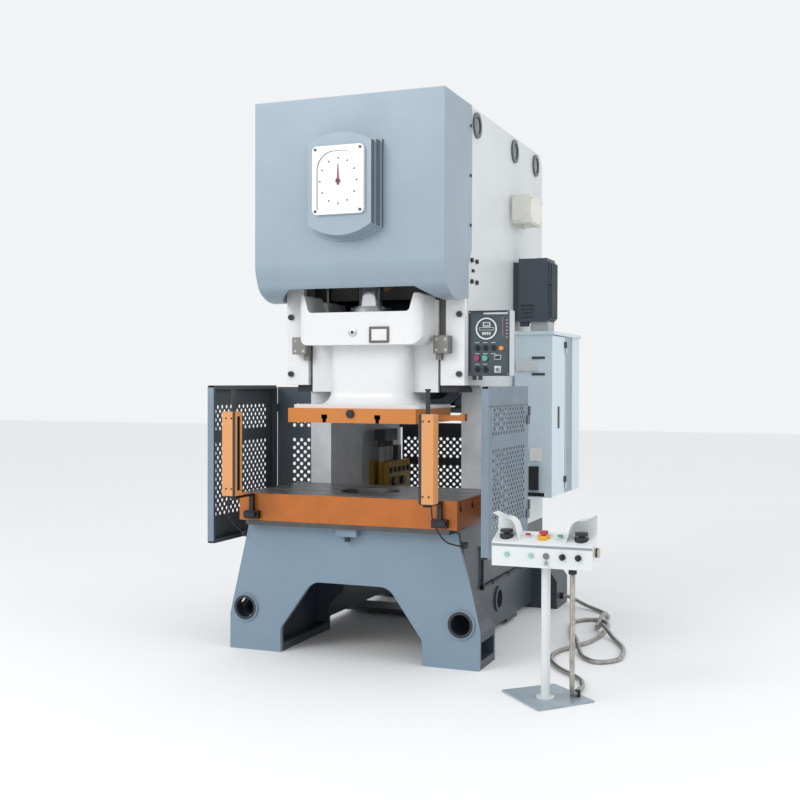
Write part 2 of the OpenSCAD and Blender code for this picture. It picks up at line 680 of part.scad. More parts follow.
module panel_key() color(steel) placed() key_switch(panel_key_at[0], panel_key_at[1], 379);
module panel_red_button() color(red) placed() push_head(614, 1670, panel_face, 32);
module panel_green_button() color(green) placed() push_head(661, 1670, panel_face, 32);

module electrical_cabinet() color(cover_blue) placed() {
  difference() {
    block([579, 800], [1280, 2045], [807, 1836]);
    block([584, 801], [1285, 2040], [812, 1831]);
  }
  block([795, 816], [1641, 1836], [807, 1836]);
  block([795, 822], [1836, 2045], [807, 1836]);
  block([800, 822], [1280, 1285], [807, 1836]);
  block([570, 834], [1268, 2057], [1836, 1858]);
  block([side_outer, 579], [1300, 1340], [860, 1780]);
  block([side_outer, 579], [1940, 1980], [860, 1780]);
  block([584, 600], [1300, 2020], [860, 1780]);
  block([590, 735], [1266, 1280], [1607, 1670]);
  for (z = [1578, 1682]) block([691, 776], [1276, 1280], [z, z + 16]);
  block([681, 753], [1270, 1280], [1038, 1118]);
  block([681, 741], [1250, 1280], [854, 1004]);
  block([590, 780], [1262, 1280], [815, 838]);
  for (x = [610, 640, 670, 700, 730, 760]) y_rod(x, 826, 1246, 1262, 16);
  block([800, 822], [1641, 1650], [815, 1825]);
  for (z = [840, 1720]) {
    z_rod(door_hinge_x, door_hinge_y, z, z + 40, 12);
    z_rod(door_hinge_x, door_hinge_y, z, z + 78, 5);
    block([822, door_hinge_x], [door_hinge_y, 1650], [z, z + 40]);
  }
}
door_hinge_x = 828;
door_hinge_y = 1632;
module cabinet_door() color(cover_blue) placed() difference() {
  union() {
    block([800, 822], [1286, 1622], [812, 1831]);
    block([822, 826], [1430, 1470], [1240, 1380]);
    for (z = [840, 1720]) {
      z_rod(door_hinge_x, door_hinge_y, z + 41, z + 80, 12);
      block([822, door_hinge_x], [1596, door_hinge_y], [z + 41, z + 80]);
    }
  }
  for (z = [840, 1720]) z_rod(door_hinge_x, door_hinge_y, z + 40, z + 81, 5 + 2 * running_play);
}

module inverter_box() color([0.2, 0.22, 0.25]) placed() {
  difference() {
    union() {
      block([602, 787], [1275, 1480], [1918, 2318]);
      block([787, 800], [1300, 1470], [1930, 2298]);
      for (k = [0 : 8]) block([800, 812], [1320 + 16 * k, 1326 + 16 * k], [1940, 2288]);
    }
    for (i = [0 : 6], j = [0 : 3])
      block([622 + 12 * i, 628 + 12 * i], [1270, 1281], [1940 + 24 * j, 1956 + 24 * j]);
    block([786, 801], [1290, 1480], [2150, 2154]);
  }
  block([side_outer, 602], [1300, 1340], [1930, 2298]);
  block([side_outer, 602], [1430, 1470], [1930, 2298]);
  block([675, 790], [1300, 1450], [1858.3, 1918]);
  for (x = [608, 638]) block([x, x + 22], [1290, 1330], [1890, 1918]);
}
module cam_switch_box() color(beige) placed() {
  block([side_outer, 690], [1215, 1490], [2540, 2715]);
  block([690, 696], [1222, 1483], [2548, 2707]);
  y_plate(1199, 1215) polygon(soft([[580, 2552, 12], [672, 2552, 70], [672, 2703, 70], [580, 2703, 12]]));
  z_rod(620, 1350, 2515, 2540, 30);
}

// ---- air unit seen through the throat ----

module air_unit() color(yellow) placed() {
  block([-side_inner, -400], [1468, 1876], [793, 830]);
  block([-400, -362], [1468, 1876], [793, 990]);
  block([-side_inner, -470], [1468, 1876], [830, 990]);
  for (y = [1510, 1590, 1670, 1750, 1830]) x_rod(y, 930, -362, -348, 40);
  for (y = [1550, 1710]) x_rod(y, 850, -362, -340, 60);
  for (y = [1500, 1580, 1660]) z_rod(-430, y, 830, 1130, 44);
  block([-470, -390], [1480, 1700], [1130, 1210]);
  block([-460, -400], [1740, 1800], [830, 1090]);
}

// ---- bolts and small fittings on the frame ----

module hex_head(x, z, y) {
  translate([x, y, z]) rotate([90, 0, 0]) cylinder(d = 36, h = 16, $fn = 6);
}
module frame_bolts() color(dark) placed() {
  for (s = [-1, 1], z = [1580, 1916]) hex_head(s * 526, z, cheek_y0);
  for (p = [[422, 2226], [515, 2226], [422, 2106], [515, 2106]]) x_rod(p[0], p[1], side_outer, 576, 26);
  block([side_outer, 572], [434, 466], [2160, 2176]);
  for (s = [-1, 1], y = [anchor_front_inset, anchor_front_inset + anchor_span_y])
    bolt_head(s * anchor_span_x / 2, y);
  both_sides() {
    for (z = [2420, 2700, 2980]) x_rod(396, z, 566, 572, 18);
  }
  block([-62, 62], [-52, 0], [683, bed_level]);
  z_rod(0, -30, 655, 683, 30);
}
// washer and nut of an anchor, standing on the foot slab
module bolt_head(x, y) difference() {
  translate([x, y, foot_thickness]) cylinder(d = 70, h = 8);
  z_rod(x, y, foot_thickness - 1, foot_thickness + 9, anchor_hole_d + 1);
}

// ---- pedestal ----

ped_x0 = 965;
ped_x1 = 1455;
ped_bottom = 650;
palm_x = [1024, 1392];
stop_x = 1208;
module pedestal_stand() color(white) placed() {
  difference() {
    z_plate(0, 10) polygon([[976, -334], [1234, -606], [1443, -358], [1190, -120]]);
    z_rod(1220, -300, -1, 11, 14);
  }
  z_rod(1212, -394, 10, 18, 90);
  z_rod(1212, -394, 18.3, 643.7, 44);
  block([1150, 1274], [-440, -385], [644, ped_bottom]);
}

// control box with a sloped top, two sheet hoods and fixed lamps
module pedestal_box() color(white) placed() difference() {
  union() {
    x_plate(ped_x0, ped_x1) polygon([[-480, ped_bottom], [-366, ped_bottom], [-366, 806], [-372, 809],
      [-480, 766]]);
    difference() {
      union() {
        translate([ped_x0, 0, 0]) hood();
        translate([ped_x1, 0, 0]) mirror([1, 0, 0]) hood();
      }
      x_plate(ped_x0 - 1, ped_x1 + 1)
        polygon([[-490, 600], [-350, 600], [-350, 807], [-372, 807], [-490, 760]]);
    }
    for (x = palm_x) z_rod(x, -425, 772, 800, 68);
    z_rod(stop_x, -425, 772, 799, 60);
    for (x = [1042, 1160]) y_rod(x, 708, -488, -480, 24);
    y_rod(1234, 708, -486, -480, 30);
    x_rod(-425, 730, ped_x1, ped_x1 + 22, 46);
    block([ped_x0, ped_x1], [-481, -480], [745, 757]);
    z_rod(1350, -425, 640, ped_bottom, 34);
  }
  x_plate(ped_x0 + 5, ped_x1 - 5) polygon([[-475, ped_bottom + 5], [-371, ped_bottom + 5],
    [-371, 803], [-475, 762]]);
  block([1000, 1120], [-460, -390], [ped_bottom - 5, ped_bottom + 6]);
  for (x = palm_x) z_rod(x, -425, 700, 830, 30 + 2 * running_play);
  z_rod(stop_x, -425, 700, 830, 24 + 2 * running_play);
  for (x = [1131, 1289]) z_rod(x, -425, 700, 830, 16 + 2 * running_play);
  for (x = [1313, 1389]) y_rod(x, 708, -490, -440, 14 + 2 * running_play);
  y_rod(1234, 676, -490, -440, 14 + 2 * running_play);
}
// hood cross-section measured from the end of the box: flared lip, flat top and inner curve
hood_path = soft([[0, 903], [38, 885, 80], [102, 879, 55], [140, 753]]);
// curved sheet of one hood and the wall that closes it at the back
module hood() {
  y_plate(-462, -366) polygon(sheet_path(hood_path, -2.5));
  y_plate(-368.5, -366) polygon(concat(hood_path, [[0, 753]]));
}
module palm_button(x) color(dark) placed() {
  z_rod(x, -425, 808, 822, palm_button_d);
  z_rod(x, -425, 735, 809, 30);
}
module palm_button_left() palm_button(palm_x[0]);
module palm_button_right() palm_button(palm_x[1]);
module emergency_stop() color(red) placed() {
  z_rod(stop_x, -425, 806, 822, 44);
  z_rod(stop_x, -425, 735, 807, 24);
}
module small_button(x) {
  z_rod(x, -425, 798, 806, 26);
  z_rod(x, -425, 735, 799, 16);
}
module pedestal_red_button() color(red) placed() small_button(1131);
module pedestal_green_button() color(green) placed() small_button(1289);
module pedestal_selector_left() color(dark) placed() selector_knob_short(1313);
module pedestal_selector_right() color(dark) placed() selector_knob_short(1389);
module selector_knob_short(x) {
  y_rod(x, 708, -490, -480.3, 30);
  block([x - 4, x + 4], [-502, -490], [694, 722]);
  y_rod(x, 708, -481, -442, 14);
}
module pedestal_key() color(steel) placed() {
  y_rod(1234, 676, -488, -480.3, 22);
  block([1232, 1236], [-512, -488], [666, 686]);
  y_rod(1234, 676, -481, -442, 14);
}

// ---- conduit ----

floor_z = conduit_d / 2 + 0.5;
foot_plate_top = 10;
on_plate_z = foot_plate_top + floor_z;
// route points of the conduit from the pedestal gland, along the floor, to the rear foot
conduit_route = [[1350, -425, 640], [1350, -425, 300], [1349, -424, 140], [1345, -396, 53],
  [1342, -330, on_plate_z + 3], [1342, -280, on_plate_z + 1], [1340, -215, floor_z + 7],
  [1336, -140, floor_z], [1300, -16, floor_z], [1225, 80, floor_z], [1125, 205, floor_z],
  [1050, 370, floor_z], [1040, 540, floor_z], [1085, 680, floor_z], [1150, 834, floor_z],
  [1177, 1000, floor_z], [1185, 1150, floor_z], [1175, 1300, floor_z], [1148, 1425, floor_z],
  [1055, 1508, floor_z], [962, 1425, floor_z], [955, 1310, floor_z], [985, 1150, floor_z],
  [1030, 980, floor_z + 3], [1104, 738, floor_z + 44], [1160, 590, floor_z + 4],
  [1210, 475, floor_z], [1300, 392, floor_z], [1390, 478, floor_z], [1397, 620, floor_z],
  [1362, 800, floor_z], [1265, 1012, floor_z + 6], [1184, 1135, floor_z + 44],
  [1128, 1235, floor_z + 8], [1106, 1345, floor_z + 8], [1114, 1478, floor_z + 44],
  [1118, 1610, floor_z + 4], [1070, 1740, floor_z], [920, 1885, floor_z + 12],
  [800, 1921, 68], [740, 1921, 73]];
module conduit() color(dark) placed() sweep(above_floor(smooth_path(conduit_route)), conduit_d, 10);

// two points between each pair of route points on a smooth curve
function smooth_path(p) = let (n = len(p)) concat([for (i = [0 : n - 2]) for (k = [0, 1])
  let (a = p[max(i - 1, 0)], b = p[i], c = p[i + 1], d = p[min(i + 2, n - 1)], s = k / 2)
  0.5 * (2 * b + (c - a) * s + (2 * a - 5 * b + 4 * c - d) * s * s
    + (3 * b - a - 3 * c + d) * s * s * s)], [p[n - 1]]);
function above_floor(p) = [for (q = p) [q[0], q[1], max(q[2], floor_z)]];
// a round tube of m sides along the points, kept from twisting by a fixed side direction
module sweep(p, d, m) {
  n = len(p);
  function along(i) = unit(p[min(i + 1, n - 1)] - p[max(i - 1, 0)]);
  function carry(v, t) = unit(v - (v * t) * t);
  sides = [for (i = 0, v = carry([0, 1, 0], along(0)); i < n; i = i + 1,
    v = i < n ? carry(v, along(min(i, n - 1))) : v) v];
  rings = [for (i = [0 : n - 1]) let (t = along(i), u = sides[i], w = cross(t, u))
    for (k = [0 : m - 1]) p[i] + d / 2 * (cos(k * 360 / m) * u + sin(k * 360 / m) * w)];
  faces = concat([[for (k = [m - 1 : -1 : 0]) k]], [[for (k = [0 : m - 1]) (n - 1) * m + k]],
    [for (i = [0 : n - 2], k = [0 : m - 1])
      [i * m + k, i * m + (k + 1) % m, (i + 1) * m + (k + 1) % m, (i + 1) * m + k]]);
  polyhedron(rings, [for (f = faces) [for (k = [len(f) - 1 : -1 : 0]) f[k]]]);
}

// glands at both ends of the conduit, its clamp on the stand, and the hose on the side plate
module conduit_fittings() color(dark) placed() {
  difference() {
    union() {
      x_rod(1921, 73, 730, 752, 44);
      z_rod(1350, -425, 622, 640, 40);
      block([1318, 1366], [-326, -310], [foot_plate_top, on_plate_z + 20]);
    }
    x_rod(1921, 73, 738, 753, conduit_d + 1);
    z_rod(1350, -425, 621, 641, conduit_d + 1);
    y_rod(1342, on_plate_z + 2, -327, -309, conduit_d + 3);
    block([1342 - 0.42 * conduit_d, 1342 + 0.42 * conduit_d], [-327, -309],
      [foot_plate_top - 1, on_plate_z + 2]);
  }
  z_rod(572, 632, 340, 560, 16);
  y_rod(572, 331, 640, 1440, 16);
  block([side_outer, 584], [618, 645], [318, 346]);
  x_rod(632, 560, side_outer, 582, 24);
  x_rod(1440, 331, side_outer, 582, 24);
  for (y = [820, 1160]) block([side_outer, 583], [y, y + 14], [320, 342]);
}

frame_side_left();
frame_side_right();
base_front();
base_cross_members();
bed_plate();
bolster();
crown_front_plate();
crown_bulkhead();
slide_gibs();
front_cover();
dial_housing();
dial_face();
motor();
balancer_cylinders();
drive_belts();
shaft_bearings();
fixed_guards();
light_curtain_posts();
light_curtain_brackets();
operator_box();
electrical_cabinet();
inverter_box();
pedestal_stand();
pedestal_box();
conduit();
conduit_fittings();
air_unit();
frame_bolts();
cam_switch_box();
sensor_leads();
slide_casting();
slide_plate();
slide_fittings();
adjusting_screw();
crankshaft();
main_gear();
dial_pointer();
connecting_rod();
pinion_shaft();
flywheel();
motor_rotor();
guard_door_left();
guard_door_right();
cabinet_door();
panel_selector_1();
panel_selector_2();
panel_selector_3();
panel_selector_4();
panel_selector_5();
panel_key();
panel_red_button();
panel_green_button();
palm_button_left();
palm_button_right();
emergency_stop();
pedestal_red_button();
pedestal_green_button();
pedestal_selector_left();
pedestal_selector_right();
pedestal_key();
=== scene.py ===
# %% [markdown]
# # A stamping press, dressed in Blender
# The press is already built as solid parts. This lesson gives those parts their paint, steel and
# rubber, and adds the small things that a paint shop and a fitter would add: screws, the marks on
# the dial, the windows and lamps of the operator panel, and the ribbed skin of the floor conduit.
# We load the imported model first, because every other piece is placed from it.

# %% load the press
import math
import bpy
import bmesh
from mathutils import Matrix, Vector


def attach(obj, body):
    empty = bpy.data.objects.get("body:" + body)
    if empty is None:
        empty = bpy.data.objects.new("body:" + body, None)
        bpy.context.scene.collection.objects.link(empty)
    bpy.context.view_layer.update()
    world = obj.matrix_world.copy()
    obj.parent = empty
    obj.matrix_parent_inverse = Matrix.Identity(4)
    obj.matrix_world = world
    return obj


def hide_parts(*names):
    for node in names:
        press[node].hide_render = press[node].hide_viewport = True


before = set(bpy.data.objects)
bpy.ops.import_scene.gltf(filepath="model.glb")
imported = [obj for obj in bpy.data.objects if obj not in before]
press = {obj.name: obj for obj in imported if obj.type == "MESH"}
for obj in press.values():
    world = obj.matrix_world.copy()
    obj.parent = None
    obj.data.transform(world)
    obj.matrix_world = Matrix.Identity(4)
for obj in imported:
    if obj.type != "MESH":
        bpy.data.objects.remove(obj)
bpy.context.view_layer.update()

# %% [markdown]
# The press was measured from the front plane of its base. The model's own origin is the centre of
# the anchor bolts, 1.055 m further back. One helper turns measured millimetres into model metres,
# so the numbers in this lesson read like a drawing.

# %% from the drawing to the model
MM = 1000  # millimetres in a metre
FRONT_TO_ORIGIN = 1055


def at(x, y, z):
    return Vector((x / MM, (y - FRONT_TO_ORIGIN) / MM, z / MM))


print("origin seen from the front plane:", at(0, FRONT_TO_ORIGIN, 0))

# %% [markdown]
# The camera stands to the front right of the press, 1.5 m above the floor. A 52 mm lens on a 36 mm
# sensor gives the same mild perspective as the photograph.

# %% camera
lens = bpy.data.cameras.new("eye")
lens.lens = 51.87
lens.sensor_width = 36
lens.clip_end = 60
eye = bpy.data.objects.new("eye", lens)
eye.location = (2.5849, -6.8744, 1.5311)
eye.rotation_euler = (math.radians(89.134), math.radians(-0.156), math.radians(21.461))
bpy.context.scene.collection.objects.link(eye)
bpy.context.scene.camera = eye
print("lens:", lens.lens, "mm")

# %% [markdown]
# Every finish starts in the same way, as a new material with one Principled shader. `node` adds a
# node and sets its inputs or its properties. `place` hands over the point on the piece in metres,
# so a pattern has its real size and stays on the piece when the piece moves.

# %% start a finish
COAT_ROUGHNESS = 0.2


def start_finish(name, rough, metal=0.0, coat=0.0):
    finish = bpy.data.materials.new(name)
    finish.use_nodes = True
    tree = finish.node_tree
    shader = tree.nodes["Principled BSDF"]
    shader.inputs["Roughness"].default_value = rough
    shader.inputs["Metallic"].default_value = metal
    shader.inputs["Coat Weight"].default_value = coat
    if coat:
        shader.inputs["Coat Roughness"].default_value = COAT_ROUGHNESS
    return finish, tree, shader


def node(tree, kind, **values):
    made = tree.nodes.new(kind)
    for key, value in values.items():
        if key in made.inputs.keys():
            made.inputs[key].default_value = value
        else:
            setattr(made, key, value)
    return made


def place(tree, stretch=(1, 1, 1)):
    where = node(tree, "ShaderNodeTexCoord")
    mapping = node(tree, "ShaderNodeMapping")
    mapping.inputs["Scale"].default_value = stretch
    tree.links.new(where.outputs["Object"], mapping.inputs["Vector"])
    return mapping.outputs["Vector"]


print("a finish can be started")

# %% [markdown]
# No real surface has one flat colour. `mottle` lets a soft cloud choose between a light and a deep
# tone, and `deeper` makes the deep tone from the light one. `rough_patches` does the same for the
# gloss.

# %% colour and gloss that wander
DEEP_BELOW, LIGHT_ABOVE = 0.35, 0.7


def mottle(tree, light, deep, scale):
    cloud = node(tree, "ShaderNodeTexNoise", Scale=scale, Detail=5.0, Roughness=0.6)
    tree.links.new(place(tree), cloud.inputs["Vector"])
    ramp = node(tree, "ShaderNodeValToRGB")
    for stop, position, tone in zip(ramp.color_ramp.elements, (DEEP_BELOW, LIGHT_ABOVE),
                                    (deep, light)):
        stop.position = position
        stop.color = (*tone, 1)
    tree.links.new(cloud.outputs["Fac"], ramp.inputs["Fac"])
    return ramp.outputs["Color"]


def deeper(colour, share):
    return tuple(channel * share for channel in colour)


def rough_patches(tree, shader, low, high, scale):
    noise = node(tree, "ShaderNodeTexNoise", Scale=scale, Detail=4.0)
    tree.links.new(place(tree), noise.inputs["Vector"])
    span = node(tree, "ShaderNodeMapRange")
    span.inputs["To Min"].default_value = low
    span.inputs["To Max"].default_value = high
    tree.links.new(noise.outputs["Fac"], span.inputs["Value"])
    tree.links.new(span.outputs["Result"], shader.inputs["Roughness"])


print("one step deeper than white:", deeper((1, 1, 1), 0.9))

# %% [markdown]
# `grain` turns a fine noise into bump. It also softens the corners: a Bevel node turns the normal
# near an edge, so an edge catches the light as a painted or broken one does, and the mesh of the
# solid part stays as it is. Depth and edge are in metres.

# %% grain and soft edges
def grain(tree, shader, scale, depth, strength=0.4, stretch=(1, 1, 1), edge=0.0015):
    noise = node(tree, "ShaderNodeTexNoise", Scale=scale, Detail=3.0)
    tree.links.new(place(tree, stretch), noise.inputs["Vector"])
    bump = node(tree, "ShaderNodeBump", Strength=strength, Distance=depth)
    tree.links.new(noise.outputs["Fac"], bump.inputs["Height"])
    soft_edge = node(tree, "ShaderNodeBevel", samples=4)
    soft_edge.inputs["Radius"].default_value = edge
    tree.links.new(soft_edge.outputs["Normal"], bump.inputs["Normal"])
    tree.links.new(bump.outputs["Normal"], shader.inputs["Normal"])


print("grain ready")

# %% [markdown]
# Machine paint is sprayed. It has a faint orange-peel skin, and its gloss wanders a little. The
# bump is a quarter of a millimetre deep at most, so it only shows in the highlights. The same
# recipe serves every painted part; only the colour, the gloss and the peel change.

# %% sprayed paint
SPRAY_DUST = 0.93
FINE_DUST = (0.965, 0.965, 0.97)


def sprayed(name, colour, rough, peel=260):
    finish, tree, shader = start_finish(name, rough, coat=0.12)
    tone = mottle(tree, colour, deeper(colour, SPRAY_DUST), 1.6)
    fine = mottle(tree, (1, 1, 1), FINE_DUST, 38)
    blend = node(tree, "ShaderNodeMix", data_type="RGBA", blend_type="MULTIPLY")
    blend.inputs["Factor"].default_value = 1.0
    tree.links.new(tone, blend.inputs[6])
    tree.links.new(fine, blend.inputs[7])
    tree.links.new(blend.outputs[2], shader.inputs["Base Color"])
    rough_patches(tree, shader, rough - 0.07, rough + 0.09, 5)
    grain(tree, shader, peel, 0.00025)
    return finish


paint = {
    "white": sprayed("frame_white", (0.86, 0.875, 0.885), 0.36),
    "slide": sprayed("slide_white", (0.80, 0.81, 0.81), 0.34, peel=140),
    # painted shade: the guards' blue grey is deepened, as they stand in shade
    "guard": sprayed("wing_paint", (0.062, 0.083, 0.106), 0.44),
    "slate": sprayed("slate_paint", (0.035, 0.045, 0.055), 0.5),
    "beige": sprayed("beige_shell", (0.74, 0.735, 0.68), 0.5),
    "motor": sprayed("motor_paint", (0.20, 0.27, 0.33), 0.45),
}
print("paints:", sorted(paint))

# %% [markdown]
# One casting or weldment often carries several finishes. A mask says where each one lies: it is 1
# inside a zone and 0 outside. We read the point on the piece, take one of its axes, and compare it
# with two measures of the drawing. A Mix node then chooses by that mask.

# %% masks from measures
# a Mix node has sockets for every kind of value: first, second and result of the two used here
MIX_SOCKETS = {"RGBA": (6, 7, 2), "FLOAT": (2, 3, 0)}


def mixed(tree, factor, first, second, kind="RGBA"):
    mix = node(tree, "ShaderNodeMix", data_type=kind)
    low, high, result = MIX_SOCKETS[kind]
    tree.links.new(factor, mix.inputs["Factor"])
    for socket, source in ((mix.inputs[low], first), (mix.inputs[high], second)):
        if isinstance(source, (int, float)):
            socket.default_value = source
        else:
            tree.links.new(source, socket)
    return mix.outputs[result]


def axis_of(tree, vector, letter):
    parts = node(tree, "ShaderNodeSeparateXYZ")
    tree.links.new(vector, parts.inputs["Vector"])
    return parts.outputs[letter]


def without_sign(tree, value):
    whole = node(tree, "ShaderNodeMath", operation="ABSOLUTE")
    tree.links.new(value, whole.inputs[0])
    return whole.outputs[0]


def within(tree, value, low, high):
    near = node(tree, "ShaderNodeMath", operation="COMPARE")
    tree.links.new(value, near.inputs[0])
    near.inputs[1].default_value = (low + high) / 2 / MM
    near.inputs[2].default_value = (high - low) / 2 / MM
    return near.outputs[0]


print("masks ready, kinds of mix:", sorted(MIX_SOCKETS))

# %% [markdown]
# A zone is given by ranges in drawing millimetres. "X", "Y" and "Z" are plain ranges, and "AX" is
# the distance from the middle of the press, so that one zone can serve both sides. A "ring" is the
# band between two radii round a hole: it names the plane, the middle of the hole and the radii.
# Where a zone has several ranges, a point must lie in all of them.

# %% masks from zones
def inside(tree, where, key, low, high):
    value = axis_of(tree, where, key[-1])
    if key == "Y":
        low, high = low - FRONT_TO_ORIGIN, high - FRONT_TO_ORIGIN
    if key == "AX":
        value = without_sign(tree, value)
    return within(tree, value, low, high)


def ring_part(tree, where, plane, across, height, low, high):
    first = axis_of(tree, where, plane[0])
    if plane == "XZ":  # across is then the distance from the middle, so it serves both sides
        first = without_sign(tree, first)
    across -= FRONT_TO_ORIGIN if plane[0] == "Y" else 0
    height -= FRONT_TO_ORIGIN if plane[1] == "Y" else 0
    flat = node(tree, "ShaderNodeCombineXYZ")
    tree.links.new(first, flat.inputs["X"])
    tree.links.new(axis_of(tree, where, plane[1]), flat.inputs["Y"])
    away = node(tree, "ShaderNodeVectorMath", operation="DISTANCE")
    tree.links.new(flat.outputs["Vector"], away.inputs[0])
    away.inputs[1].default_value = (across / MM, height / MM, 0)
    return within(tree, away.outputs["Value"], low, high)


def zone_mask(tree, ranges):
    where = place(tree)
    mask = None
    for key, given in ranges.items():
        if key == "ring":
            part = ring_part(tree, where, *given)
        else:
            part = inside(tree, where, key, *given)
        if mask is None:
            mask = part
        else:
            both = node(tree, "ShaderNodeMath", operation="MULTIPLY")
            tree.links.new(mask, both.inputs[0])
            tree.links.new(part, both.inputs[1])
            mask = both.outputs[0]
    return mask


print("zones can be masked")

# %% [markdown]
# `zoned` starts from one colour and lays the zones over it in turn, so a later zone covers an
# earlier one. Each zone is its ranges, its colour and how metallic it is. Where all zones are
# equally metallic, that number goes straight to the shader, because a mix of equal numbers is only
# a detour.

# %% paint in zones
ZONE_DUST = 0.84
ZONE_CLOUD = 9
BASE = (0.195, 0.275, 0.35)
# painted shade: the lower blue grey deepened to slate where it lies in shade
SHADED_SLATE = (0.039, 0.054, 0.072)
INK = (0.012, 0.013, 0.015)
# painted shade inside the round holes
HOLE_SHADE = (0.022, 0.028, 0.036)


def zoned(name, colour, zones, rough=0.42, dust=0.92, metallic=0.0, scale=2.0, peel=260):
    finish, tree, shader = start_finish(name, rough, metallic, coat=0.08)
    tone = mottle(tree, colour, deeper(colour, dust), scale)
    shine = metallic
    metals_differ = any(zone_metal != metallic for _, _, zone_metal in zones)
    for ranges, zone_colour, zone_metal in zones:
        mask = zone_mask(tree, ranges)
        over = mottle(tree, zone_colour, deeper(zone_colour, ZONE_DUST), ZONE_CLOUD)
        tone = mixed(tree, mask, tone, over)
        if metals_differ:
            shine = mixed(tree, mask, shine, zone_metal, "FLOAT")
    tree.links.new(tone, shader.inputs["Base Color"])
    if metals_differ:
        tree.links.new(shine, shader.inputs["Metallic"])
    rough_patches(tree, shader, rough - 0.06, rough + 0.10, 6)
    grain(tree, shader, peel, 0.0002)
    return finish


print("a deeper slate:", deeper(SHADED_SLATE, ZONE_DUST))

# %% [markdown]
# First the frame. The bolster's top is ground steel and its four edges are orange. Base and side
# plates are light to the front and above and slate below and behind: the slate is their blue grey
# deepened as painted shade. The columns in the throat get painted light, the insides of the round
# holes get painted shade, and so do the foot of the ways and the guards, whose doors get painted
# light on their front fold.

# %% zones of the frame
zone_paint = {
    "bolster": zoned("bolster_finish", (0.34, 0.345, 0.35), [
        ({"AX": (649, 652)}, (0.42, 0.105, 0.008), 0.0),  # the ends
        ({"Y": (-74, -71)}, (0.475, 0.128, 0.008), 0.0),  # the front
        ({"Y": (669, 672)}, (0.42, 0.105, 0.008), 0.0),  # the back
    ], rough=0.32, dust=0.7, metallic=1.0, scale=6, peel=600),
    # the base's blue grey, deepened to slate behind its front as painted shade
    "base": zoned("base_blue_and_shade", BASE, [
        ({"Y": (26, 700)}, SHADED_SLATE, 0.0),  # painted shade behind the face plate's front
        ({"ring": ("XZ", 649, 241, 0, 71)}, HOLE_SHADE, 0.0),  # painted shade in the access holes
    ]),
    "side": zoned("side_plate_paint", (0.64, 0.67, 0.68), [
        # painted light: the columns in the throat are painted brighter than the plates
        ({"AX": (0, 561.4), "Z": (749, 1500)}, (0.85, 0.89, 0.92), 0.0),  # columns in the throat
        # painted shade: on the feet and beside the bed the blue grey is deepened to slate
        ({"Z": (-10, 588)}, SHADED_SLATE, 0.0),  # the feet
        ({"Y": (-10, 760), "Z": (588, 748)}, SHADED_SLATE, 0.0),  # beside the bed
        ({"AX": (562.5, 580), "ring": ("YZ", 980, 205, 0, 71)}, HOLE_SHADE, 0.0),  # painted shade in the foot's hole
        ({"AX": (562.5, 580), "Z": (2900, 3100), "Y": (400, 2000)},  # bosses of the lifting holes
         (0.09, 0.11, 0.13), 0.0),
    ], rough=0.38),
    # one blue grey in three tones: painted shade inside, lighter outside, painted light in front
    "guard": zoned("guard_paint", (0.066, 0.083, 0.096), [
        ({"AX": (833.4, 836)}, (0.135, 0.192, 0.242), 0.0),  # the skin outside
        ({"Y": (-116, -111.8)}, (0.20, 0.27, 0.34), 0.0),  # painted light on the front fold
    ], rough=0.42),
    "ways": zoned("way_steel", (0.19, 0.185, 0.17), [
        ({"Y": (250, 346)}, (0.22, 0.216, 0.20), 0.9),  # the guide blocks in front
        ({"Z": (1300, 1560)}, (0.022, 0.024, 0.028), 0.2),  # painted shade at the foot of the ways
    ], rough=0.36, dust=0.72, metallic=0.9, scale=12, peel=700),
}
print("zoned finishes of the frame:", len(zone_paint))

# %% [markdown]
# Next the dial, the light posts and the slide. Here the zones are small: a screw head, painted
# shade on the wall of a recess, the dark strip of a light post, painted shade inside a T-slot. The
# crown's inside is darkened as painted shade.

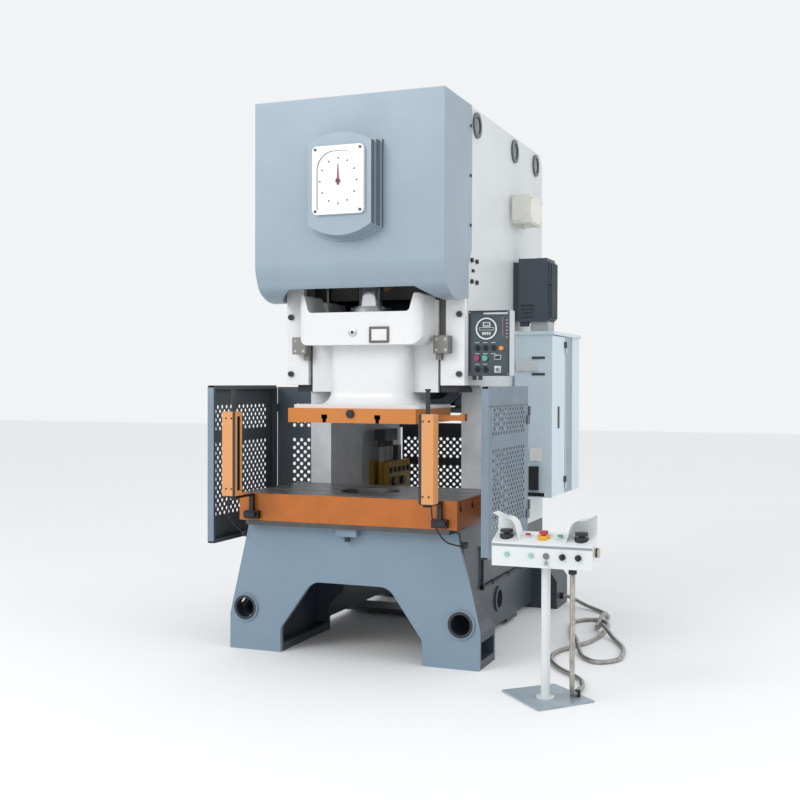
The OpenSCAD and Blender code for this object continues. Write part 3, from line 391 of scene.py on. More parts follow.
# %% zones of the dial and the slide
zone_paint.update({
    "dial": zoned("dial_enamel", (0.80, 0.81, 0.81), [
        # painted shade on the wall of the recess
        ({"Y": (-169.8, -163.1), "AX": (0, 124.6), "Z": (2458, 2778)},  # the recess's wall
         (0.13, 0.15, 0.16), 0.0),
        ({"Y": (-175, -170.2)}, INK, 0.1),  # the corner screws
    ], rough=0.25, dust=0.97),
    "pointer": zoned("pointer_red", (0.36, 0.008, 0.03), [
        ({"ring": ("XZ", 0, 2615, 0, 10)}, (0.03, 0.033, 0.035), 0.3),  # the hub's cap
    ], rough=0.35, dust=0.8),
    "post": zoned("post_orange", (0.69, 0.31, 0.112), [
        ({"Z": (1370.5, 1520)}, (0.03, 0.032, 0.036), 0.2),  # the rod on top
        ({"AX": (530.5, 547)}, (0.02, 0.02, 0.024), 0.0),  # the strip that looks inward
    ], rough=0.36),
    "plate": zoned("slide_plate_orange", (0.58, 0.195, 0.030), [
        ({"Y": (-20, 8.6)}, (0.05, 0.052, 0.056), 0.9),  # the boss in front
        # painted shade in the T-slots
        ({"AX": (120, 200), "Y": (9.6, 588.4), "Z": (1306.6, 1380)}, INK, 0.2),  # in the T-slots
        ({"AX": (385.2, 600)}, (0.56, 0.18, 0.028), 0.0),  # the side arm
    ], rough=0.38),
    "bolts": zoned("bolts_and_catches", (0.055, 0.057, 0.06), [
        ({"AX": (0, 70), "Z": (683, 730)}, BASE, 0.0),  # the block under the bed's front
    ], rough=0.42, dust=0.7, metallic=0.8, scale=9, peel=300),
    "fittings": zoned("slide_fittings_finish", (0.40, 0.41, 0.42), [
        ({"X": (70, 192), "Y": (90, 105)}, (0.14, 0.14, 0.135), 0.7),  # the gauge's frame
        ({"X": (-45, -15), "Y": (90, 105)}, (0.72, 0.73, 0.73), 0.0),  # the plug
        ({"X": (-45, -15), "Y": (90, 105), "ring": ("XZ", 30, 1812, 0, 9)}, INK, 0.2),  # its middle
        ({"X": (85, 177), "Y": (100.5, 102), "Z": (1765, 1829)},  # the gauge's face
         (0.86, 0.85, 0.82), 0.0),
    ], rough=0.3, dust=0.75, metallic=1.0, scale=9, peel=400),
    # painted shade: the crown's inside is darkened, to slate in its rear and upper half
    "crown": zoned("crown_inside", (0.21, 0.20, 0.18), [
        ({"Y": (700, 2200)}, SHADED_SLATE, 0.0),  # the rear half
        ({"Z": (2600, 3200)}, SHADED_SLATE, 0.0),  # the upper half
    ], rough=0.5, dust=0.8),
})
print("zoned finishes so far:", len(zone_paint))

# %% [markdown]
# The pedestal's box is white and carries many small things in one solid: collars under the
# buttons, lamps, a connector. Each gets a zone of its own. The stand's foot plate is darker than
# its post.

# %% zones of the pedestal
LAMP_MINT = (0.28, 0.62, 0.56)
zone_paint.update({
    "pedestal": zoned("pedestal_white", (0.74, 0.77, 0.78), [
        ({"Z": (744, 758), "Y": (-481.5, -480)}, (0.30, 0.33, 0.36), 0.0),  # the grey line
        ({"X": (1455.3, 1480)}, (0.55, 0.50, 0.40), 1.0),  # the connector at the end
        ({"X": (1462, 1471)}, INK, 0.2),  # its rubber ring
        ({"Y": (-490, -481.6)}, (0.45, 0.47, 0.47), 0.3),  # rims on the front
        ({"Y": (-490, -487.5), "ring": ("XZ", 1042, 708, 0, 10)}, LAMP_MINT, 0.0),
        ({"Y": (-490, -487.5), "ring": ("XZ", 1160, 708, 0, 10)}, LAMP_MINT, 0.0),
        ({"Z": (760, 801), "ring": ("XY", 1208, -425, 0, 30.1)},  # under the emergency stop
         (0.80, 0.40, 0.02), 0.0),
        ({"Z": (760, 801), "ring": ("XY", 1024, -425, 0, 34.1)}, INK, 0.0),  # left palm button
        ({"Z": (760, 801), "ring": ("XY", 1392, -425, 0, 34.1)}, INK, 0.0),  # right palm button
        ({"X": (1215, 1255), "Y": (-490, -480.3), "Z": (690, 725)},  # the collar in the middle
         (0.20, 0.21, 0.21), 0.4),
        ({"Z": (636, 649)}, INK, 0.1),  # the gland below
    ], rough=0.30),
    "stand": zoned("stand_white", (0.68, 0.715, 0.73), [
        ({"Z": (-1, 10.4)}, (0.33, 0.395, 0.44), 0.0),  # the foot plate
    ], rough=0.34),
})
print("zoned finishes so far:", len(zone_paint))

# %% [markdown]
# The cabinet on the right flank carries plates on its front: a pale socket plate, a dark meter and
# a pale bar between two dark ones. The inverter above it stands on a pale foot, and the air unit in
# the throat is a yellow manifold with dark valves and pale bowls.

# %% zones of the cabinet and the air unit
zone_paint.update({
    "cabinet": zoned("cabinet_paint", (0.60, 0.71, 0.77), [
        ({"Y": (1244, 1279.5), "Z": (850, 1010)}, INK, 0.0),  # the meter
        ({"Y": (1244, 1279.5), "Z": (1030, 1120)}, (0.78, 0.79, 0.78), 0.0),  # the socket plate
        ({"Y": (1244, 1263), "Z": (810, 845)}, INK, 0.1),  # the cable glands
        ({"Y": (1266.5, 1279.5), "Z": (1570, 1705)}, (0.045, 0.065, 0.085), 0.0),  # dark bars
        ({"Y": (1265, 1279.5), "Z": (1606, 1671)}, (0.66, 0.69, 0.69), 0.0),  # the pale bar
        ({"X": (794, 817), "Y": (1650.5, 1835.5), "Z": (806, 1835.5)},  # the step behind the door
         (0.27, 0.34, 0.395), 0.0),
    ], rough=0.38),
    "door": zoned("cabinet_door_paint", (0.60, 0.71, 0.77), [
        ({"X": (822.3, 840), "Y": (1425, 1475)}, INK, 0.2),  # the handle
        ({"X": (822.3, 850), "Y": (1590, 1660)}, (0.05, 0.052, 0.056), 0.6),  # the hinges
    ], rough=0.38),
    "inverter": zoned("inverter_paint", (0.050, 0.064, 0.084), [
        ({"Z": (1858, 1917.9), "X": (673, 792)}, (0.44, 0.48, 0.50), 0.0),  # the foot
        ({"Y": (1440, 1482), "X": (786, 801)}, (0.085, 0.10, 0.12), 0.0),  # the lid's rear edge
    ], rough=0.5),
    "air": zoned("air_unit_finish", (0.60, 0.36, 0.035), [
        ({"X": (-361, -330)}, (0.05, 0.05, 0.05), 0.1),  # the knobs
        ({"Z": (1091, 1215)}, (0.10, 0.11, 0.12), 0.1),  # the valve block on top
        ({"Z": (991, 1089), "Y": (1475, 1690)}, (0.55, 0.57, 0.56), 0.2),  # the bowls
        ({"Z": (990, 1095), "Y": (1730, 1810)}, (0.14, 0.16, 0.18), 0.0),  # the post behind
    ], rough=0.36, dust=0.75),
})
print("zoned finishes so far:", len(zone_paint))

# %% [markdown]
# The front cover and the dial's housing share one blue grey. The housing is built in three steps,
# and their sides are in the shade, so each step gets a deeper tone. The two small push buttons on
# the pedestal have a coloured cap in a pale collar.

# %% zones of the cover and the small buttons
STEP_SHADE = (0.11, 0.135, 0.155)
COLLAR = (0.60, 0.62, 0.62)
zone_paint.update({
    "case": zoned("dial_case_paint", (0.280, 0.362, 0.430), [
        ({"AX": (187.6, 188.4)}, STEP_SHADE, 0.0),  # side of the front step
        ({"AX": (199.6, 200.4)}, STEP_SHADE, 0.0),  # side of the middle step
        ({"AX": (213.6, 214.4)}, (0.07, 0.085, 0.10), 0.0),  # side of the rear step
    ], rough=0.36),
    "red_button": zoned("red_button", (0.50, 0.015, 0.015), [
        ({"Z": (700, 797.9)}, COLLAR, 0.0),
    ], rough=0.28),
    "green_button": zoned("green_button", (0.03, 0.32, 0.14), [
        ({"Z": (700, 797.9)}, COLLAR, 0.0),
    ], rough=0.28),
    "cover": zoned("cover_paint", (0.272, 0.352, 0.420), [
        ({"Z": (3096.6, 3105)}, (0.37, 0.45, 0.52), 0.0),  # the top sheet
    ], rough=0.36),
})
print("zoned finishes:", sorted(zone_paint))

# %% [markdown]
# Bare steel is cut or ground, so its marks run one way. Stretching the noise along one axis makes
# those fine lines. Ground faces get long thin lines, turned parts get fine rings round the upright
# axis, and zinc plate gets an even grain.

# %% bare metal
def ground(name, colour, rough, stretch, lines=900, depth=0.00008):
    finish, tree, shader = start_finish(name, rough, metal=1.0)
    tree.links.new(mottle(tree, colour, deeper(colour, 0.72), 7), shader.inputs["Base Color"])
    rough_patches(tree, shader, rough - 0.08, rough + 0.12, 14)
    grain(tree, shader, lines, depth, 0.5, stretch)
    return finish


EVEN = (1, 1, 1)
ALONG_X, ALONG_Y = (0.04, 1, 1), (1, 0.1, 1)
ROUND_Z = (0.1, 0.1, 1)
metal = {
    "ground": ground("ground_steel", (0.52, 0.53, 0.54), 0.34, ALONG_X),
    "turned": ground("turned_steel", (0.60, 0.61, 0.62), 0.22, ROUND_Z),
    "chrome": ground("chromed_screw", (0.80, 0.81, 0.83), 0.12, ROUND_Z, 500, 0.00003),
    "dark": ground("blackened_steel", (0.060, 0.062, 0.066), 0.42, EVEN, 400),
    "bronze": ground("bronze_bush", (0.55, 0.36, 0.16), 0.32, ALONG_Y),
    "bed": ground("bed_steel", (0.13, 0.13, 0.125), 0.40, ALONG_X),
    "zinc": ground("zinc_plate", (0.62, 0.64, 0.66), 0.36, EVEN, 220, 0.0001),
}
print("metals:", sorted(metal))

# %% [markdown]
# Plastics and rubber have no metal in them. A moulded knob is a little glossy, a cable skin is
# matt, and a signal button is clear-coated so that it catches the light.

# %% plastic and rubber
MOULD_SKIN = 420


def moulded(name, colour, rough, coat=0.0):
    finish, tree, shader = start_finish(name, rough, coat=coat)
    tree.links.new(mottle(tree, colour, deeper(colour, 0.8), 22), shader.inputs["Base Color"])
    rough_patches(tree, shader, rough - 0.06, rough + 0.10, 40)
    grain(tree, shader, MOULD_SKIN, 0.0001, edge=0.0008)
    return finish


plastic = {
    "black": moulded("black_plastic", (0.018, 0.019, 0.021), 0.42),
    "panel": moulded("panel_foil", (0.022, 0.024, 0.028), 0.32, coat=0.3),
    "rubber": moulded("black_rubber", (0.022, 0.022, 0.023), 0.72),
    "red": moulded("red_cap", (0.52, 0.018, 0.014), 0.28, coat=0.5),
    "amber": moulded("amber_lens", (0.90, 0.30, 0.02), 0.25, coat=0.6),
    "rose": moulded("rose_lens", (0.62, 0.20, 0.18), 0.3, coat=0.4),
    "pale": moulded("pale_lens", (0.70, 0.74, 0.74), 0.22, coat=0.6),
    "ink": moulded("dial_ink", (0.02, 0.02, 0.025), 0.5),
    "magenta": moulded("magenta_cap", (0.42, 0.015, 0.11), 0.28, coat=0.5),
    "mint": moulded("mint_cap", (0.08, 0.48, 0.30), 0.28, coat=0.5),
}
print("plastics:", sorted(plastic))

# %% [markdown]
# The operator box has a dark foil on its front and a painted case behind it. Its mask reads the
# direction of the surface instead of its place: where the normal points forward or back, the foil
# begins, so the colours meet exactly on the edge of the box.

# %% finish of the operator box
FACING_LOW, FACING_HIGH = 0.5, 0.6
foil_front, tree, shader = start_finish("foil_and_case", 0.36, coat=0.2)
normal = node(tree, "ShaderNodeTexCoord").outputs["Normal"]
front = node(tree, "ShaderNodeMapRange")
front.inputs["From Min"].default_value = FACING_LOW
front.inputs["From Max"].default_value = FACING_HIGH
tree.links.new(without_sign(tree, axis_of(tree, normal, "Y")), front.inputs["Value"])
case = mottle(tree, (0.55, 0.58, 0.59), (0.47, 0.50, 0.51), 3)
foil = mottle(tree, (0.040, 0.066, 0.085), (0.034, 0.056, 0.072), 9)
tree.links.new(mixed(tree, front.outputs["Result"], case, foil), shader.inputs["Base Color"])
grain(tree, shader, 300, 0.0001)
print("operator box finish:", foil_front.name)

# %% [markdown]
# Now each CAD part gets its finish. The mesh stays as it is; only its material slot changes.

# %% dress the CAD parts
dress = {
    "frame_side_left": zone_paint["side"], "frame_side_right": zone_paint["side"],
    "base_front": zone_paint["base"], "base_cross_members": paint["slate"],
    "bed_plate": metal["bed"], "bolster": zone_paint["bolster"],
    "crown_front_plate": paint["white"], "crown_bulkhead": zone_paint["crown"],
    "slide_gibs": zone_paint["ways"], "front_cover": zone_paint["cover"],
    "dial_housing": zone_paint["case"], "dial_face": zone_paint["dial"], "motor": paint["motor"],
    "balancer_cylinders": paint["slate"], "drive_belts": plastic["rubber"],
    "shaft_bearings": metal["bronze"], "fixed_guards": paint["guard"],
    "light_curtain_posts": zone_paint["post"], "light_curtain_brackets": metal["dark"],
    "operator_box": foil_front, "electrical_cabinet": zone_paint["cabinet"],
    "inverter_box": zone_paint["inverter"], "pedestal_stand": zone_paint["stand"],
    "pedestal_box": zone_paint["pedestal"], "conduit_fittings": metal["dark"],
    "air_unit": zone_paint["air"],
    "frame_bolts": zone_paint["bolts"], "cam_switch_box": paint["beige"],
    "slide_casting": paint["slide"], "slide_plate": zone_paint["plate"],
    "slide_fittings": zone_paint["fittings"], "adjusting_screw": metal["chrome"],
    "crankshaft": metal["turned"], "main_gear": metal["ground"],
    "dial_pointer": zone_paint["pointer"], "connecting_rod": metal["ground"],
    "pinion_shaft": metal["turned"], "flywheel": paint["motor"], "motor_rotor": metal["dark"],
    "guard_door_left": zone_paint["guard"], "guard_door_right": zone_paint["guard"],
    "cabinet_door": zone_paint["door"], "panel_key": metal["zinc"],
    "panel_red_button": plastic["magenta"], "panel_green_button": plastic["mint"],
    "palm_button_left": plastic["black"], "palm_button_right": plastic["black"],
    "emergency_stop": plastic["red"], "pedestal_red_button": zone_paint["red_button"],
    "pedestal_green_button": zone_paint["green_button"], "pedestal_selector_left": plastic["black"],
    "pedestal_selector_right": plastic["black"], "pedestal_key": metal["zinc"],
}
for number in range(1, 6):
    dress[f"panel_selector_{number}"] = plastic["black"]
for name, finish in dress.items():
    for own in press[name].material_slots:
        own.material = finish
print("dressed:", len(dress), "left:", sorted(set(press) - set(dress)))

# %% [markdown]
# A free cord has a real length, so its route is given as points and smoothed the same way as in
# the solid model. The curve passes through every point, and each stretch between two of them is
# cut into equal steps.

# %% a smooth route
ROUTE_STEPS = 6


def smooth_route(points):
    last = len(points) - 1
    made = []
    for i in range(last):
        a, b = points[max(i - 1, 0)], points[i]
        c, d = points[i + 1], points[min(i + 2, last)]
        for k in range(ROUTE_STEPS):
            s = k / ROUTE_STEPS
            made.append(0.5 * (2 * b + (c - a) * s + (2 * a - 5 * b + 4 * c - d) * s * s
                               + (3 * b - a - 3 * c + d) * s ** 3))
    return made + [points[last]]


bend = smooth_route([Vector((0, 0, 0)), Vector((1, 0, 0)), Vector((1, 1, 0))])
print("points on a route of three:", len(bend))

# %% [markdown]
# `tube_along` carries a ring of vertices along the route without twisting it, and stores the
# distance along the cord in the UV map, so that the ribs of the conduit follow its bends.

# %% a tube along a route
def tube_along(name, route, radius, sides, finish):
    mesh = bpy.data.meshes.new(name)
    shape = bmesh.new()
    sheet = shape.loops.layers.uv.new("along")
    side = Vector((0, 1, 0))
    rings, run, runs = [], 0.0, []
    for i, point in enumerate(route):
        along = (route[min(i + 1, len(route) - 1)] - route[max(i - 1, 0)]).normalized()
        side = (side - side.dot(along) * along).normalized()
        other = along.cross(side)
        run += (point - route[i - 1]).length if i else 0.0
        runs.append(run)
        rings.append([shape.verts.new(point + radius * (
            math.cos(2 * math.pi * k / sides) * side + math.sin(2 * math.pi * k / sides) * other))
            for k in range(sides)])
    for i in range(len(rings) - 1):
        for k in range(sides):
            nxt = (k + 1) % sides
            face = shape.faces.new((rings[i][k], rings[i][nxt], rings[i + 1][nxt], rings[i + 1][k]))
            for loop, uv in zip(face.loops, ((k, runs[i]), (k + 1, runs[i]),
                                             (k + 1, runs[i + 1]), (k, runs[i + 1]))):
                loop[sheet].uv = (uv[0] / sides, uv[1])
    shape.faces.new(reversed(rings[0]))
    shape.faces.new(rings[-1])
    bmesh.ops.recalc_face_normals(shape, faces=shape.faces)
    shape.to_mesh(mesh)
    shape.free()
    for face in mesh.polygons:
        face.use_smooth = True
    mesh.materials.append(finish)
    cord = bpy.data.objects.new(name, mesh)
    bpy.context.scene.collection.objects.link(cord)
    return cord, run


print("tube tool ready")

# %% [markdown]
# The conduit is a spiral of steel strip. Its ribs come from a Wave texture on the UV map, which
# gives one band for each turn of the strip, six millimetres apart.

# %% ribbed skin
BAND_AT_SCALE_1 = 0.314  # metres from band to band of a Wave texture of scale 1


def ribbed(name, colour, pitch, depth, rough, metallic):
    finish, tree, shader = start_finish(name, rough, metal=metallic)
    tree.links.new(mottle(tree, colour, deeper(colour, 0.6), 30), shader.inputs["Base Color"])
    along = node(tree, "ShaderNodeUVMap", uv_map="along")
    wave = node(tree, "ShaderNodeTexWave", bands_direction="Y", Scale=BAND_AT_SCALE_1 / pitch)
    tree.links.new(along.outputs["UV"], wave.inputs["Vector"])
    bump = node(tree, "ShaderNodeBump", Strength=0.9, Distance=depth)
    tree.links.new(wave.outputs["Fac"], bump.inputs["Height"])
    tree.links.new(bump.outputs["Normal"], shader.inputs["Normal"])
    return finish


conduit_skin = ribbed("flexible_conduit", (0.48, 0.465, 0.43), pitch=0.006, depth=0.0009,
                      rough=0.34, metallic=0.8)
print("conduit finish:", conduit_skin.name)

# %% [markdown]
# The conduit drops from the pedestal's gland, bends over the foot plate and lies on the floor in
# two loops before it goes into the rear foot of the press. Where it crosses itself, it rises in a
# low hump over the lower run. The route gives the middle of the tube.

# %% the floor conduit
RADIUS = 0.0125  # metres
FLOOR = 13.0  # height of the conduit's middle where it lies on the floor, in millimetres
PLATE = 23.0  # and where it lies on the pedestal's foot plate
conduit_points = [
    (1350, -425, 640), (1350, -425, 300), (1349, -424, 140), (1345, -396, 53),
    (1342, -330, PLATE + 3), (1342, -280, PLATE + 1), (1340, -215, FLOOR + 7),
    (1336, -140, FLOOR), (1300, -16, FLOOR), (1225, 80, FLOOR), (1125, 205, FLOOR),
    (1050, 370, FLOOR), (1040, 540, FLOOR), (1085, 680, FLOOR), (1150, 834, FLOOR),
    (1177, 1000, FLOOR), (1185, 1150, FLOOR), (1175, 1300, FLOOR), (1148, 1425, FLOOR),
    (1055, 1508, FLOOR), (962, 1425, FLOOR), (955, 1310, FLOOR), (985, 1150, FLOOR),
    (1030, 980, FLOOR + 3), (1104, 738, FLOOR + 44), (1160, 590, FLOOR + 4),
    (1210, 475, FLOOR), (1300, 392, FLOOR), (1390, 478, FLOOR), (1397, 620, FLOOR),
    (1362, 800, FLOOR), (1265, 1012, FLOOR + 6), (1184, 1135, FLOOR + 44),
    (1128, 1235, FLOOR + 8), (1106, 1345, FLOOR + 8), (1114, 1478, FLOOR + 44),
    (1118, 1610, FLOOR + 4), (1070, 1740, FLOOR), (920, 1885, FLOOR + 12),
    (800, 1921, 68), (740, 1921, 73)]
route = smooth_route([at(*p) for p in conduit_points])
for point in route:
    point.z = max(point.z, FLOOR / MM)
conduit, conduit_length = tube_along("conduit_skin", route, RADIUS, 16, conduit_skin)
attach(conduit, "frame")
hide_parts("conduit")
print("conduit length:", round(conduit_length, 2), "m")

# %% [markdown]
# A thin lead hangs from the foot of each light post to a plug on the base's shoulder. It is the
# same tube on a smooth route as the conduit, and the left lead is the right one mirrored.

# %% the two sensor leads
LEAD_RADIUS = 0.004  # metres
lead_points = [(588, -298, 905.4), (588.5, -298.5, 880), (596, -300, 832), (604, -268, 784),
               (606, -200, 735), (612, -120, 694), (634, -58, 674), (655, -22, 663),
               (659, -0.9, 662)]
for side, word in ((1, "right"), (-1, "left")):
    route = smooth_route([at(side * x, y, z) for x, y, z in lead_points])
    lead, lead_length = tube_along("sensor_lead_" + word, route, LEAD_RADIUS, 12,
                                   plastic["rubber"])
    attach(lead, "frame")
    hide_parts("sensor_leads")
    print("lead", word, round(lead_length, 3), "m")

# %% [markdown]
# A cap screw is a short drum with a bevelled rim and a six-sided socket. We build it once, with a
# radius of one millimetre, from rings of vertices: up the outside, over the rim and down into the
# socket. Later the same head is scaled to each size.

# %% a socket screw head
SCREW_SIDES = 12
SIXTH = math.pi / 3


def socket_reach(size, turn):
    """Distance from the middle to the wall of a six-sided socket, in the direction turn."""
    return size * math.cos(math.pi / 6) / math.cos((turn % SIXTH) - math.pi / 6)


def screw_head(name, radius, height, socket):
    rings = [(radius, 0.0, False), (radius, height * 0.75, False), (radius * 0.86, height, False),
             (socket, height, True), (socket, height * 0.45, True)]
    mesh = bpy.data.meshes.new(name)
    shape = bmesh.new()
    loops = []
    for size, level, six_sided in rings:
        ring = []
        for k in range(SCREW_SIDES):
            turn = 2 * math.pi * k / SCREW_SIDES
            reach = socket_reach(size, turn) if six_sided else size
            ring.append(shape.verts.new((reach * math.cos(turn), reach * math.sin(turn), level)))
        loops.append(ring)
    for low, high in zip(loops, loops[1:]):
        for k in range(SCREW_SIDES):
            n = (k + 1) % SCREW_SIDES
            shape.faces.new((low[k], low[n], high[n], high[k]))
    shape.faces.new(reversed(loops[0]))
    shape.faces.new(loops[-1])
    shape.to_mesh(mesh)
    shape.free()
    return bpy.data.objects.new(name, mesh)


cap_head = screw_head("cap_head", 0.001, 0.0009, 0.00055)
print("faces of a head:", len(cap_head.data.polygons))

# %% [markdown]
# Screws repeat all over the press, so a Geometry Nodes tree sets them. It takes a head, a list of
# points and a turn, puts one head on each point, makes the copies real and gives them a material.

# %% a tree that sets heads
def head_tree():
    tree = bpy.data.node_groups.new("set_heads", "GeometryNodeTree")
    face = tree.interface
    face.new_socket("Points", in_out="INPUT", socket_type="NodeSocketGeometry")
    face.new_socket("Head", in_out="INPUT", socket_type="NodeSocketObject")
    face.new_socket("Turn", in_out="INPUT", socket_type="NodeSocketVector")
    face.new_socket("Size", in_out="INPUT", socket_type="NodeSocketFloat")
    face.new_socket("Finish", in_out="INPUT", socket_type="NodeSocketMaterial")
    face.new_socket("Heads", in_out="OUTPUT", socket_type="NodeSocketGeometry")
    given = tree.nodes.new("NodeGroupInput")
    result = tree.nodes.new("NodeGroupOutput")
    info = tree.nodes.new("GeometryNodeObjectInfo")
    spots = tree.nodes.new("GeometryNodeMeshToPoints")
    copies = tree.nodes.new("GeometryNodeInstanceOnPoints")
    real = tree.nodes.new("GeometryNodeRealizeInstances")
    finish = tree.nodes.new("GeometryNodeSetMaterial")
    link = tree.links.new
    link(given.outputs["Points"], spots.inputs["Mesh"])
    link(given.outputs["Head"], info.inputs["Object"])
    link(spots.outputs["Points"], copies.inputs["Points"])
    link(info.outputs["Geometry"], copies.inputs["Instance"])
    link(given.outputs["Turn"], copies.inputs["Rotation"])
    link(given.outputs["Size"], copies.inputs["Scale"])
    link(copies.outputs["Instances"], real.inputs["Geometry"])
    link(real.outputs["Geometry"], finish.inputs["Geometry"])
    link(given.outputs["Finish"], finish.inputs["Material"])
    link(finish.outputs["Geometry"], result.inputs["Heads"])
    return tree


HEADS = head_tree()
print("nodes in the tree:", len(HEADS.nodes))

# %% [markdown]
# `set_heads` hands the tree its inputs through a modifier. The result is turned into a plain mesh
# and the carrier with its modifier is taken away, so only the screws stay.

# %% a tool for screws
TURNS = {"front": (math.pi / 2, 0, 0), "right": (0, math.pi / 2, 0)}


def set_heads(name, spots, way, size, finish):
    points = bpy.data.meshes.new(name + "_spots")
    points.from_pydata([at(*p) for p in spots], [], [])
    carrier = bpy.data.objects.new(name + "_carrier", points)
    bpy.context.scene.collection.objects.link(carrier)
    tool = carrier.modifiers.new("heads", "NODES")
    tool.node_group = HEADS
    named = {s.name: s.identifier for s in HEADS.interface.items_tree if s.in_out == "INPUT"}
    tool[named["Head"]] = cap_head
    tool[named["Turn"]] = TURNS[way]
    tool[named["Size"]] = float(size)
    tool[named["Finish"]] = finish
    view = bpy.context.evaluated_depsgraph_get()
    mesh = bpy.data.meshes.new_from_object(carrier.evaluated_get(view))
    bpy.data.objects.remove(carrier)
    piece = bpy.data.objects.new(name, mesh)
    bpy.context.scene.collection.objects.link(piece)
    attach(piece, "frame")
    return piece


print("screws can point:", sorted(TURNS))

# %% [markdown]
# The fitter's pass: cap screws on the guide blocks, the light posts, the operator box and the cam
# switch box, each sitting on the face that it holds. The size is the head's radius in millimetres.

# %% screws on the press
BOTH = (-1, 1)
made = [
    set_heads("guide_block_screws",
              [(s * x, 265, z) for s in BOTH for x in (414, 466) for z in (1715, 1775)],
              "front", 10, metal["zinc"]),
    set_heads("post_screws",
              [(s * x, -331, z) for s in BOTH for x in (554, 587) for z in (950, 1334)],
              "front", 5, metal["dark"]),
    set_heads("panel_screws", [(x, 379, z) for x in (572, 793) for z in (1580, 1927)],
              "front", 4, metal["zinc"]),
    set_heads("cam_box_screws", [(696, y, z) for y in (1236, 1469) for z in (2562, 2693)],
              "right", 5, metal["zinc"]),
]
print("screw groups:", len(made))

# %% [markdown]
# Small parts are built with three shaping tools. `add_block` makes a block with rounded edges, and
# `add_turned` sweeps a profile of radius and height round an axis that points forward, as a lathe
# would. Both put their faces into one open mesh, so a group of parts that belong together stays
# one object. `keep` turns that mesh into a piece and lets it ride on a body.

# %% shaping tools
FORWARD = Matrix.Rotation(math.pi / 2, 3, "X")
SHARP = math.radians(35)


def add_block(shape, low, high, edge):
    low, high = at(*low), at(*high)
    made = bmesh.ops.create_cube(shape, size=1.0)["verts"]
    for vert in made:
        vert.co = Vector([low[i] if vert.co[i] < 0 else high[i] for i in range(3)])
    if edge:
        edges = list(dict.fromkeys(e for vert in made for e in vert.link_edges))
        bmesh.ops.bevel(shape, geom=edges, offset=edge / MM, segments=2, affect="EDGES",
                        profile=0.5)


def add_turned(shape, centre, profile, steps=28):
    centre = at(*centre)
    rings = []
    for radius, height in profile:
        ring = []
        for k in range(steps):
            spin = 2 * math.pi * k / steps
            local = Vector((radius * math.cos(spin), radius * math.sin(spin), height)) / MM
            ring.append(shape.verts.new(centre + FORWARD @ local))
        rings.append(ring)
    for low, high in zip(rings, rings[1:]):
        for k in range(steps):
            n = (k + 1) % steps
            shape.faces.new((low[k], low[n], high[n], high[k]))
    shape.faces.new(reversed(rings[0]))
    shape.faces.new(rings[-1])


def keep(name, shape, finish, body="frame", smooth=True):
    bmesh.ops.recalc_face_normals(shape, faces=shape.faces)
    mesh = bpy.data.meshes.new(name)
    shape.to_mesh(mesh)
    shape.free()
    if smooth:
        mesh.shade_smooth()
        mesh.set_sharp_from_angle(angle=SHARP)
    mesh.materials.append(finish)
    piece = bpy.data.objects.new(name, mesh)
    bpy.context.scene.collection.objects.link(piece)
    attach(piece, body)
    return piece


print("shaping tools ready")

# %% [markdown]
# Two small turned parts sit on the slide: the flat collar round its plug and the six-sided head
# of the bolt that clamps a die's shank. They ride on the slide, so they travel with it. A profile
# lists radius and height in millimetres.

# %% parts on the slide
shape = bmesh.new()
add_turned(shape, (-30, 105, 1812), [(26, 0), (26, 2), (24, 3)], steps=40)
collar = keep("plug_collar", shape, metal["zinc"], "slide")
shape = bmesh.new()
add_turned(shape, (0, 8.8, 1357), [(25, 0), (25, 13), (21, 16)], steps=6)
bolt = keep("shank_bolt", shape, metal["dark"], "slide")
print("faces on the slide:", len(collar.data.polygons) + len(bolt.data.polygons))

# %% [markdown]
# The dial is a white enamel plate with twelve short dark marks. They stand on an upright oval, a
# little taller than wide, and each one points at the hub.

# %% dial marks
HUB_HEIGHT = 2615
OVAL = (109, 122)  # half width and half height
MARK = [(-3.2, -5.5), (3.2, -5.5), (3.2, 5.5), (-3.2, 5.5)]
MARK_BACK, MARK_FACE = -161.9, -163.2
shape = bmesh.new()
for hour in range(12):
    turn = math.radians(30 * hour)
    middle = Vector((OVAL[0] * math.sin(turn), HUB_HEIGHT + OVAL[1] * math.cos(turn)))
    sides = Vector((math.cos(turn), -math.sin(turn)))
    up = Vector((math.sin(turn), math.cos(turn)))
    rim = [middle + a * sides + b * up for a, b in MARK]
    back = [shape.verts.new(at(p.x, MARK_BACK, p.y)) for p in rim]
    face = [shape.verts.new(at(p.x, MARK_FACE, p.y)) for p in rim]
    shape.faces.new(face)
    shape.faces.new(reversed(back))
    for k in range(4):
        shape.faces.new((face[k], back[k], back[(k + 1) % 4], face[(k + 1) % 4]))
dial_marks = keep("dial_marks", shape, plastic["ink"], smooth=False)
print("faces of the marks:", len(dial_marks.data.polygons))

# %% [markdown]
# The operator panel is a dark foil in a raised rim. Behind clear windows it shows the crank angle
# and the stroke counter. A plain bar over each knob helps the hand to find its place.

# %% rim and windows of the panel
FOIL = 382
LEFT, RIGHT, FOOT, TOP = 566, 800, 1574, 1933
RIM = 6
RIM_FRONT, RIM_BACK = 378.5, 381
shape = bmesh.new()
for x0, x1, z0, z1 in ((LEFT, RIGHT, FOOT, FOOT + RIM), (LEFT, RIGHT, TOP - RIM, TOP),
                       (LEFT, LEFT + RIM, FOOT, TOP), (RIGHT - RIM, RIGHT, FOOT, TOP)):
    add_block(shape, (x0, RIM_FRONT, z0), (x1, RIM_BACK, z1), 0.5)
keep("panel_rim", shape, plastic["panel"])


def add_plate(shape, low, high, out, edge):
    """A plate on the foil between two corners (x, z), standing out by so many millimetres."""
    add_block(shape, (low[0], FOIL - out, low[1]), (high[0], FOIL, high[1]), edge)


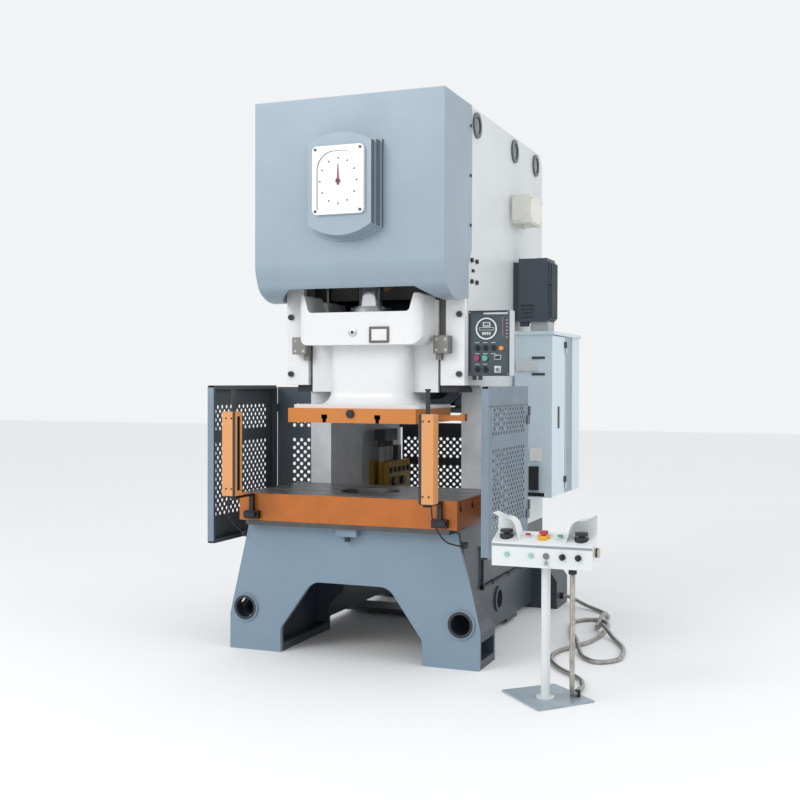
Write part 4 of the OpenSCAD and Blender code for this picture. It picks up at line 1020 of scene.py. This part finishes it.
shape = bmesh.new()
add_plate(shape, (650, 1915), (790, 1925), 1.2, 0.3)  # the title bar
for low, high, out in (((646, 1846), (690, 1872), 1.5), ((624, 1826), (712, 1842), 1.5),
                       ((716, 1661), (754, 1687), 4.5)):
    add_plate(shape, low, high, out, 1.0)  # window frames
for k in range(4):
    add_plate(shape, (643 + 13 * k, 1800), (652 + 13 * k, 1816), 1.6, 0.4)  # four small keys
for height, knobs in ((1755, (614, 661, 708)), (1693, (614, 661, 708)), (1634, (614, 661))):
    for knob in knobs:
        add_plate(shape, (knob - 13, height), (knob + 13, height + 3), 0.5, 0)  # bars over knobs
for k in range(6):
    add_plate(shape, (782, 1785 + 19 * k), (791, 1789 + 19 * k), 0.5, 0)  # bars at the column
windows = keep("panel_windows", shape, plastic["pale"])
print("faces of the windows:", len(windows.data.polygons))

# %% [markdown]
# The dark displays stand in their pale frames, a little further out. Beside them come an amber
# lamp, a column of ten signal lamps and the pale plate behind the key.

# %% displays and lamps of the panel
shape = bmesh.new()
for low, high, out in (((627, 1829), (709, 1839), 2.0), ((719, 1664), (751, 1684), 5.0)):
    add_plate(shape, low, high, out, 0.6)
for k in range(3):
    add_plate(shape, (654 + 10 * k, 1852), (662 + 10 * k, 1868), 2.0, 0.4)
keep("panel_digits", shape, plastic["ink"])

shape = bmesh.new()
add_turned(shape, (755, 370, 1724), [(13, 0), (13, 3), (9, 6.5)])
keep("amber_lamp", shape, plastic["amber"])

LAMPS = 10
shape = bmesh.new()
for row in range(LAMPS):
    foot = 1790 + 11 * row
    add_block(shape, (759, FOIL - 3.4, foot), (766, FOIL - 1.6, foot + 5), 0.3)
keep("signal_column", shape, plastic["rose"])

shape = bmesh.new()
add_block(shape, (716, 376.6, 1588), (754, 379.2, 1625), 0.6)
keep("key_plate", shape, plastic["pale"])
print("signal lamps:", LAMPS)

# %% [markdown]
# A white ring frames the displays. It is a flat band swept round a circle: four corners of its
# section, each carried once round, and their doubled vertices merged at the end.

# %% ring of the panel
RING_SIDES = 64
RING_MIDDLE = (668, 376, 1835)
SECTION = [(54, 0), (61.5, 0), (61.5, 1.0), (54, 1.0)]  # radius, height over the panel


def ring_of(shape, radius, height):
    x, y, z = RING_MIDDLE
    return [shape.verts.new(at(x + radius * math.cos(math.pi * k / (RING_SIDES / 2)), y - height,
                               z + radius * math.sin(math.pi * k / (RING_SIDES / 2))))
            for k in range(RING_SIDES)]


shape = bmesh.new()
for first, second in zip(SECTION, SECTION[1:] + SECTION[:1]):
    inner, outer = ring_of(shape, *first), ring_of(shape, *second)
    for k in range(RING_SIDES):
        n = (k + 1) % RING_SIDES
        shape.faces.new((inner[k], inner[n], outer[n], outer[k]))
bmesh.ops.remove_doubles(shape, verts=shape.verts, dist=0.00001)
dial_ring = keep("panel_dial_ring", shape, paint["white"])
print("faces of the ring:", len(dial_ring.data.polygons))

# %% [markdown]
# A pale floor and a pale world are the studio. The main light is large and a little left of the
# camera, so the front of the press is bright and its right flank is one tone darker, as in the
# photograph. A second, weaker light opens the shade on the right.

# %% studio
def studio_plane(name, size, colour):
    mesh = bpy.data.meshes.new(name)
    half = size / 2
    mesh.from_pydata([(-half, -half, 0), (half, -half, 0), (half, half, 0), (-half, half, 0)], [],
                     [(0, 1, 2, 3)])
    plane = bpy.data.objects.new(name, mesh)
    finish, tree, shader = start_finish(name + "_paint", 0.75)
    tree.links.new(mottle(tree, colour, deeper(colour, 0.985), 0.6), shader.inputs["Base Color"])
    mesh.materials.append(finish)
    bpy.context.scene.collection.objects.link(plane)
    return plane


def soft_light(name, place_at, aim, size, power):
    lamp = bpy.data.lights.new(name, "AREA")
    lamp.size = size
    lamp.energy = power
    holder = bpy.data.objects.new(name, lamp)
    holder.location = place_at
    holder.rotation_euler = (Vector(aim) - Vector(place_at)).to_track_quat("-Z", "Y").to_euler()
    bpy.context.scene.collection.objects.link(holder)


studio_plane("studio_floor", 60, (0.90, 0.905, 0.91))
soft_light("key", place_at=(-3.4, -8.0, 5.6), aim=(0, 0, 1.4), size=4.0, power=285)
soft_light("side", place_at=(7.5, -2.5, 4.0), aim=(0.3, 0, 1.2), size=4.0, power=115)
world = bpy.data.worlds.new("studio")
bpy.context.scene.world = world
world.use_nodes = True
sky = world.node_tree.nodes["Background"]
sky.inputs["Color"].default_value = (0.97, 0.985, 1.0, 1)
sky.inputs["Strength"].default_value = 0.91
bpy.context.scene.view_settings.view_transform = "Standard"
print("studio lit")
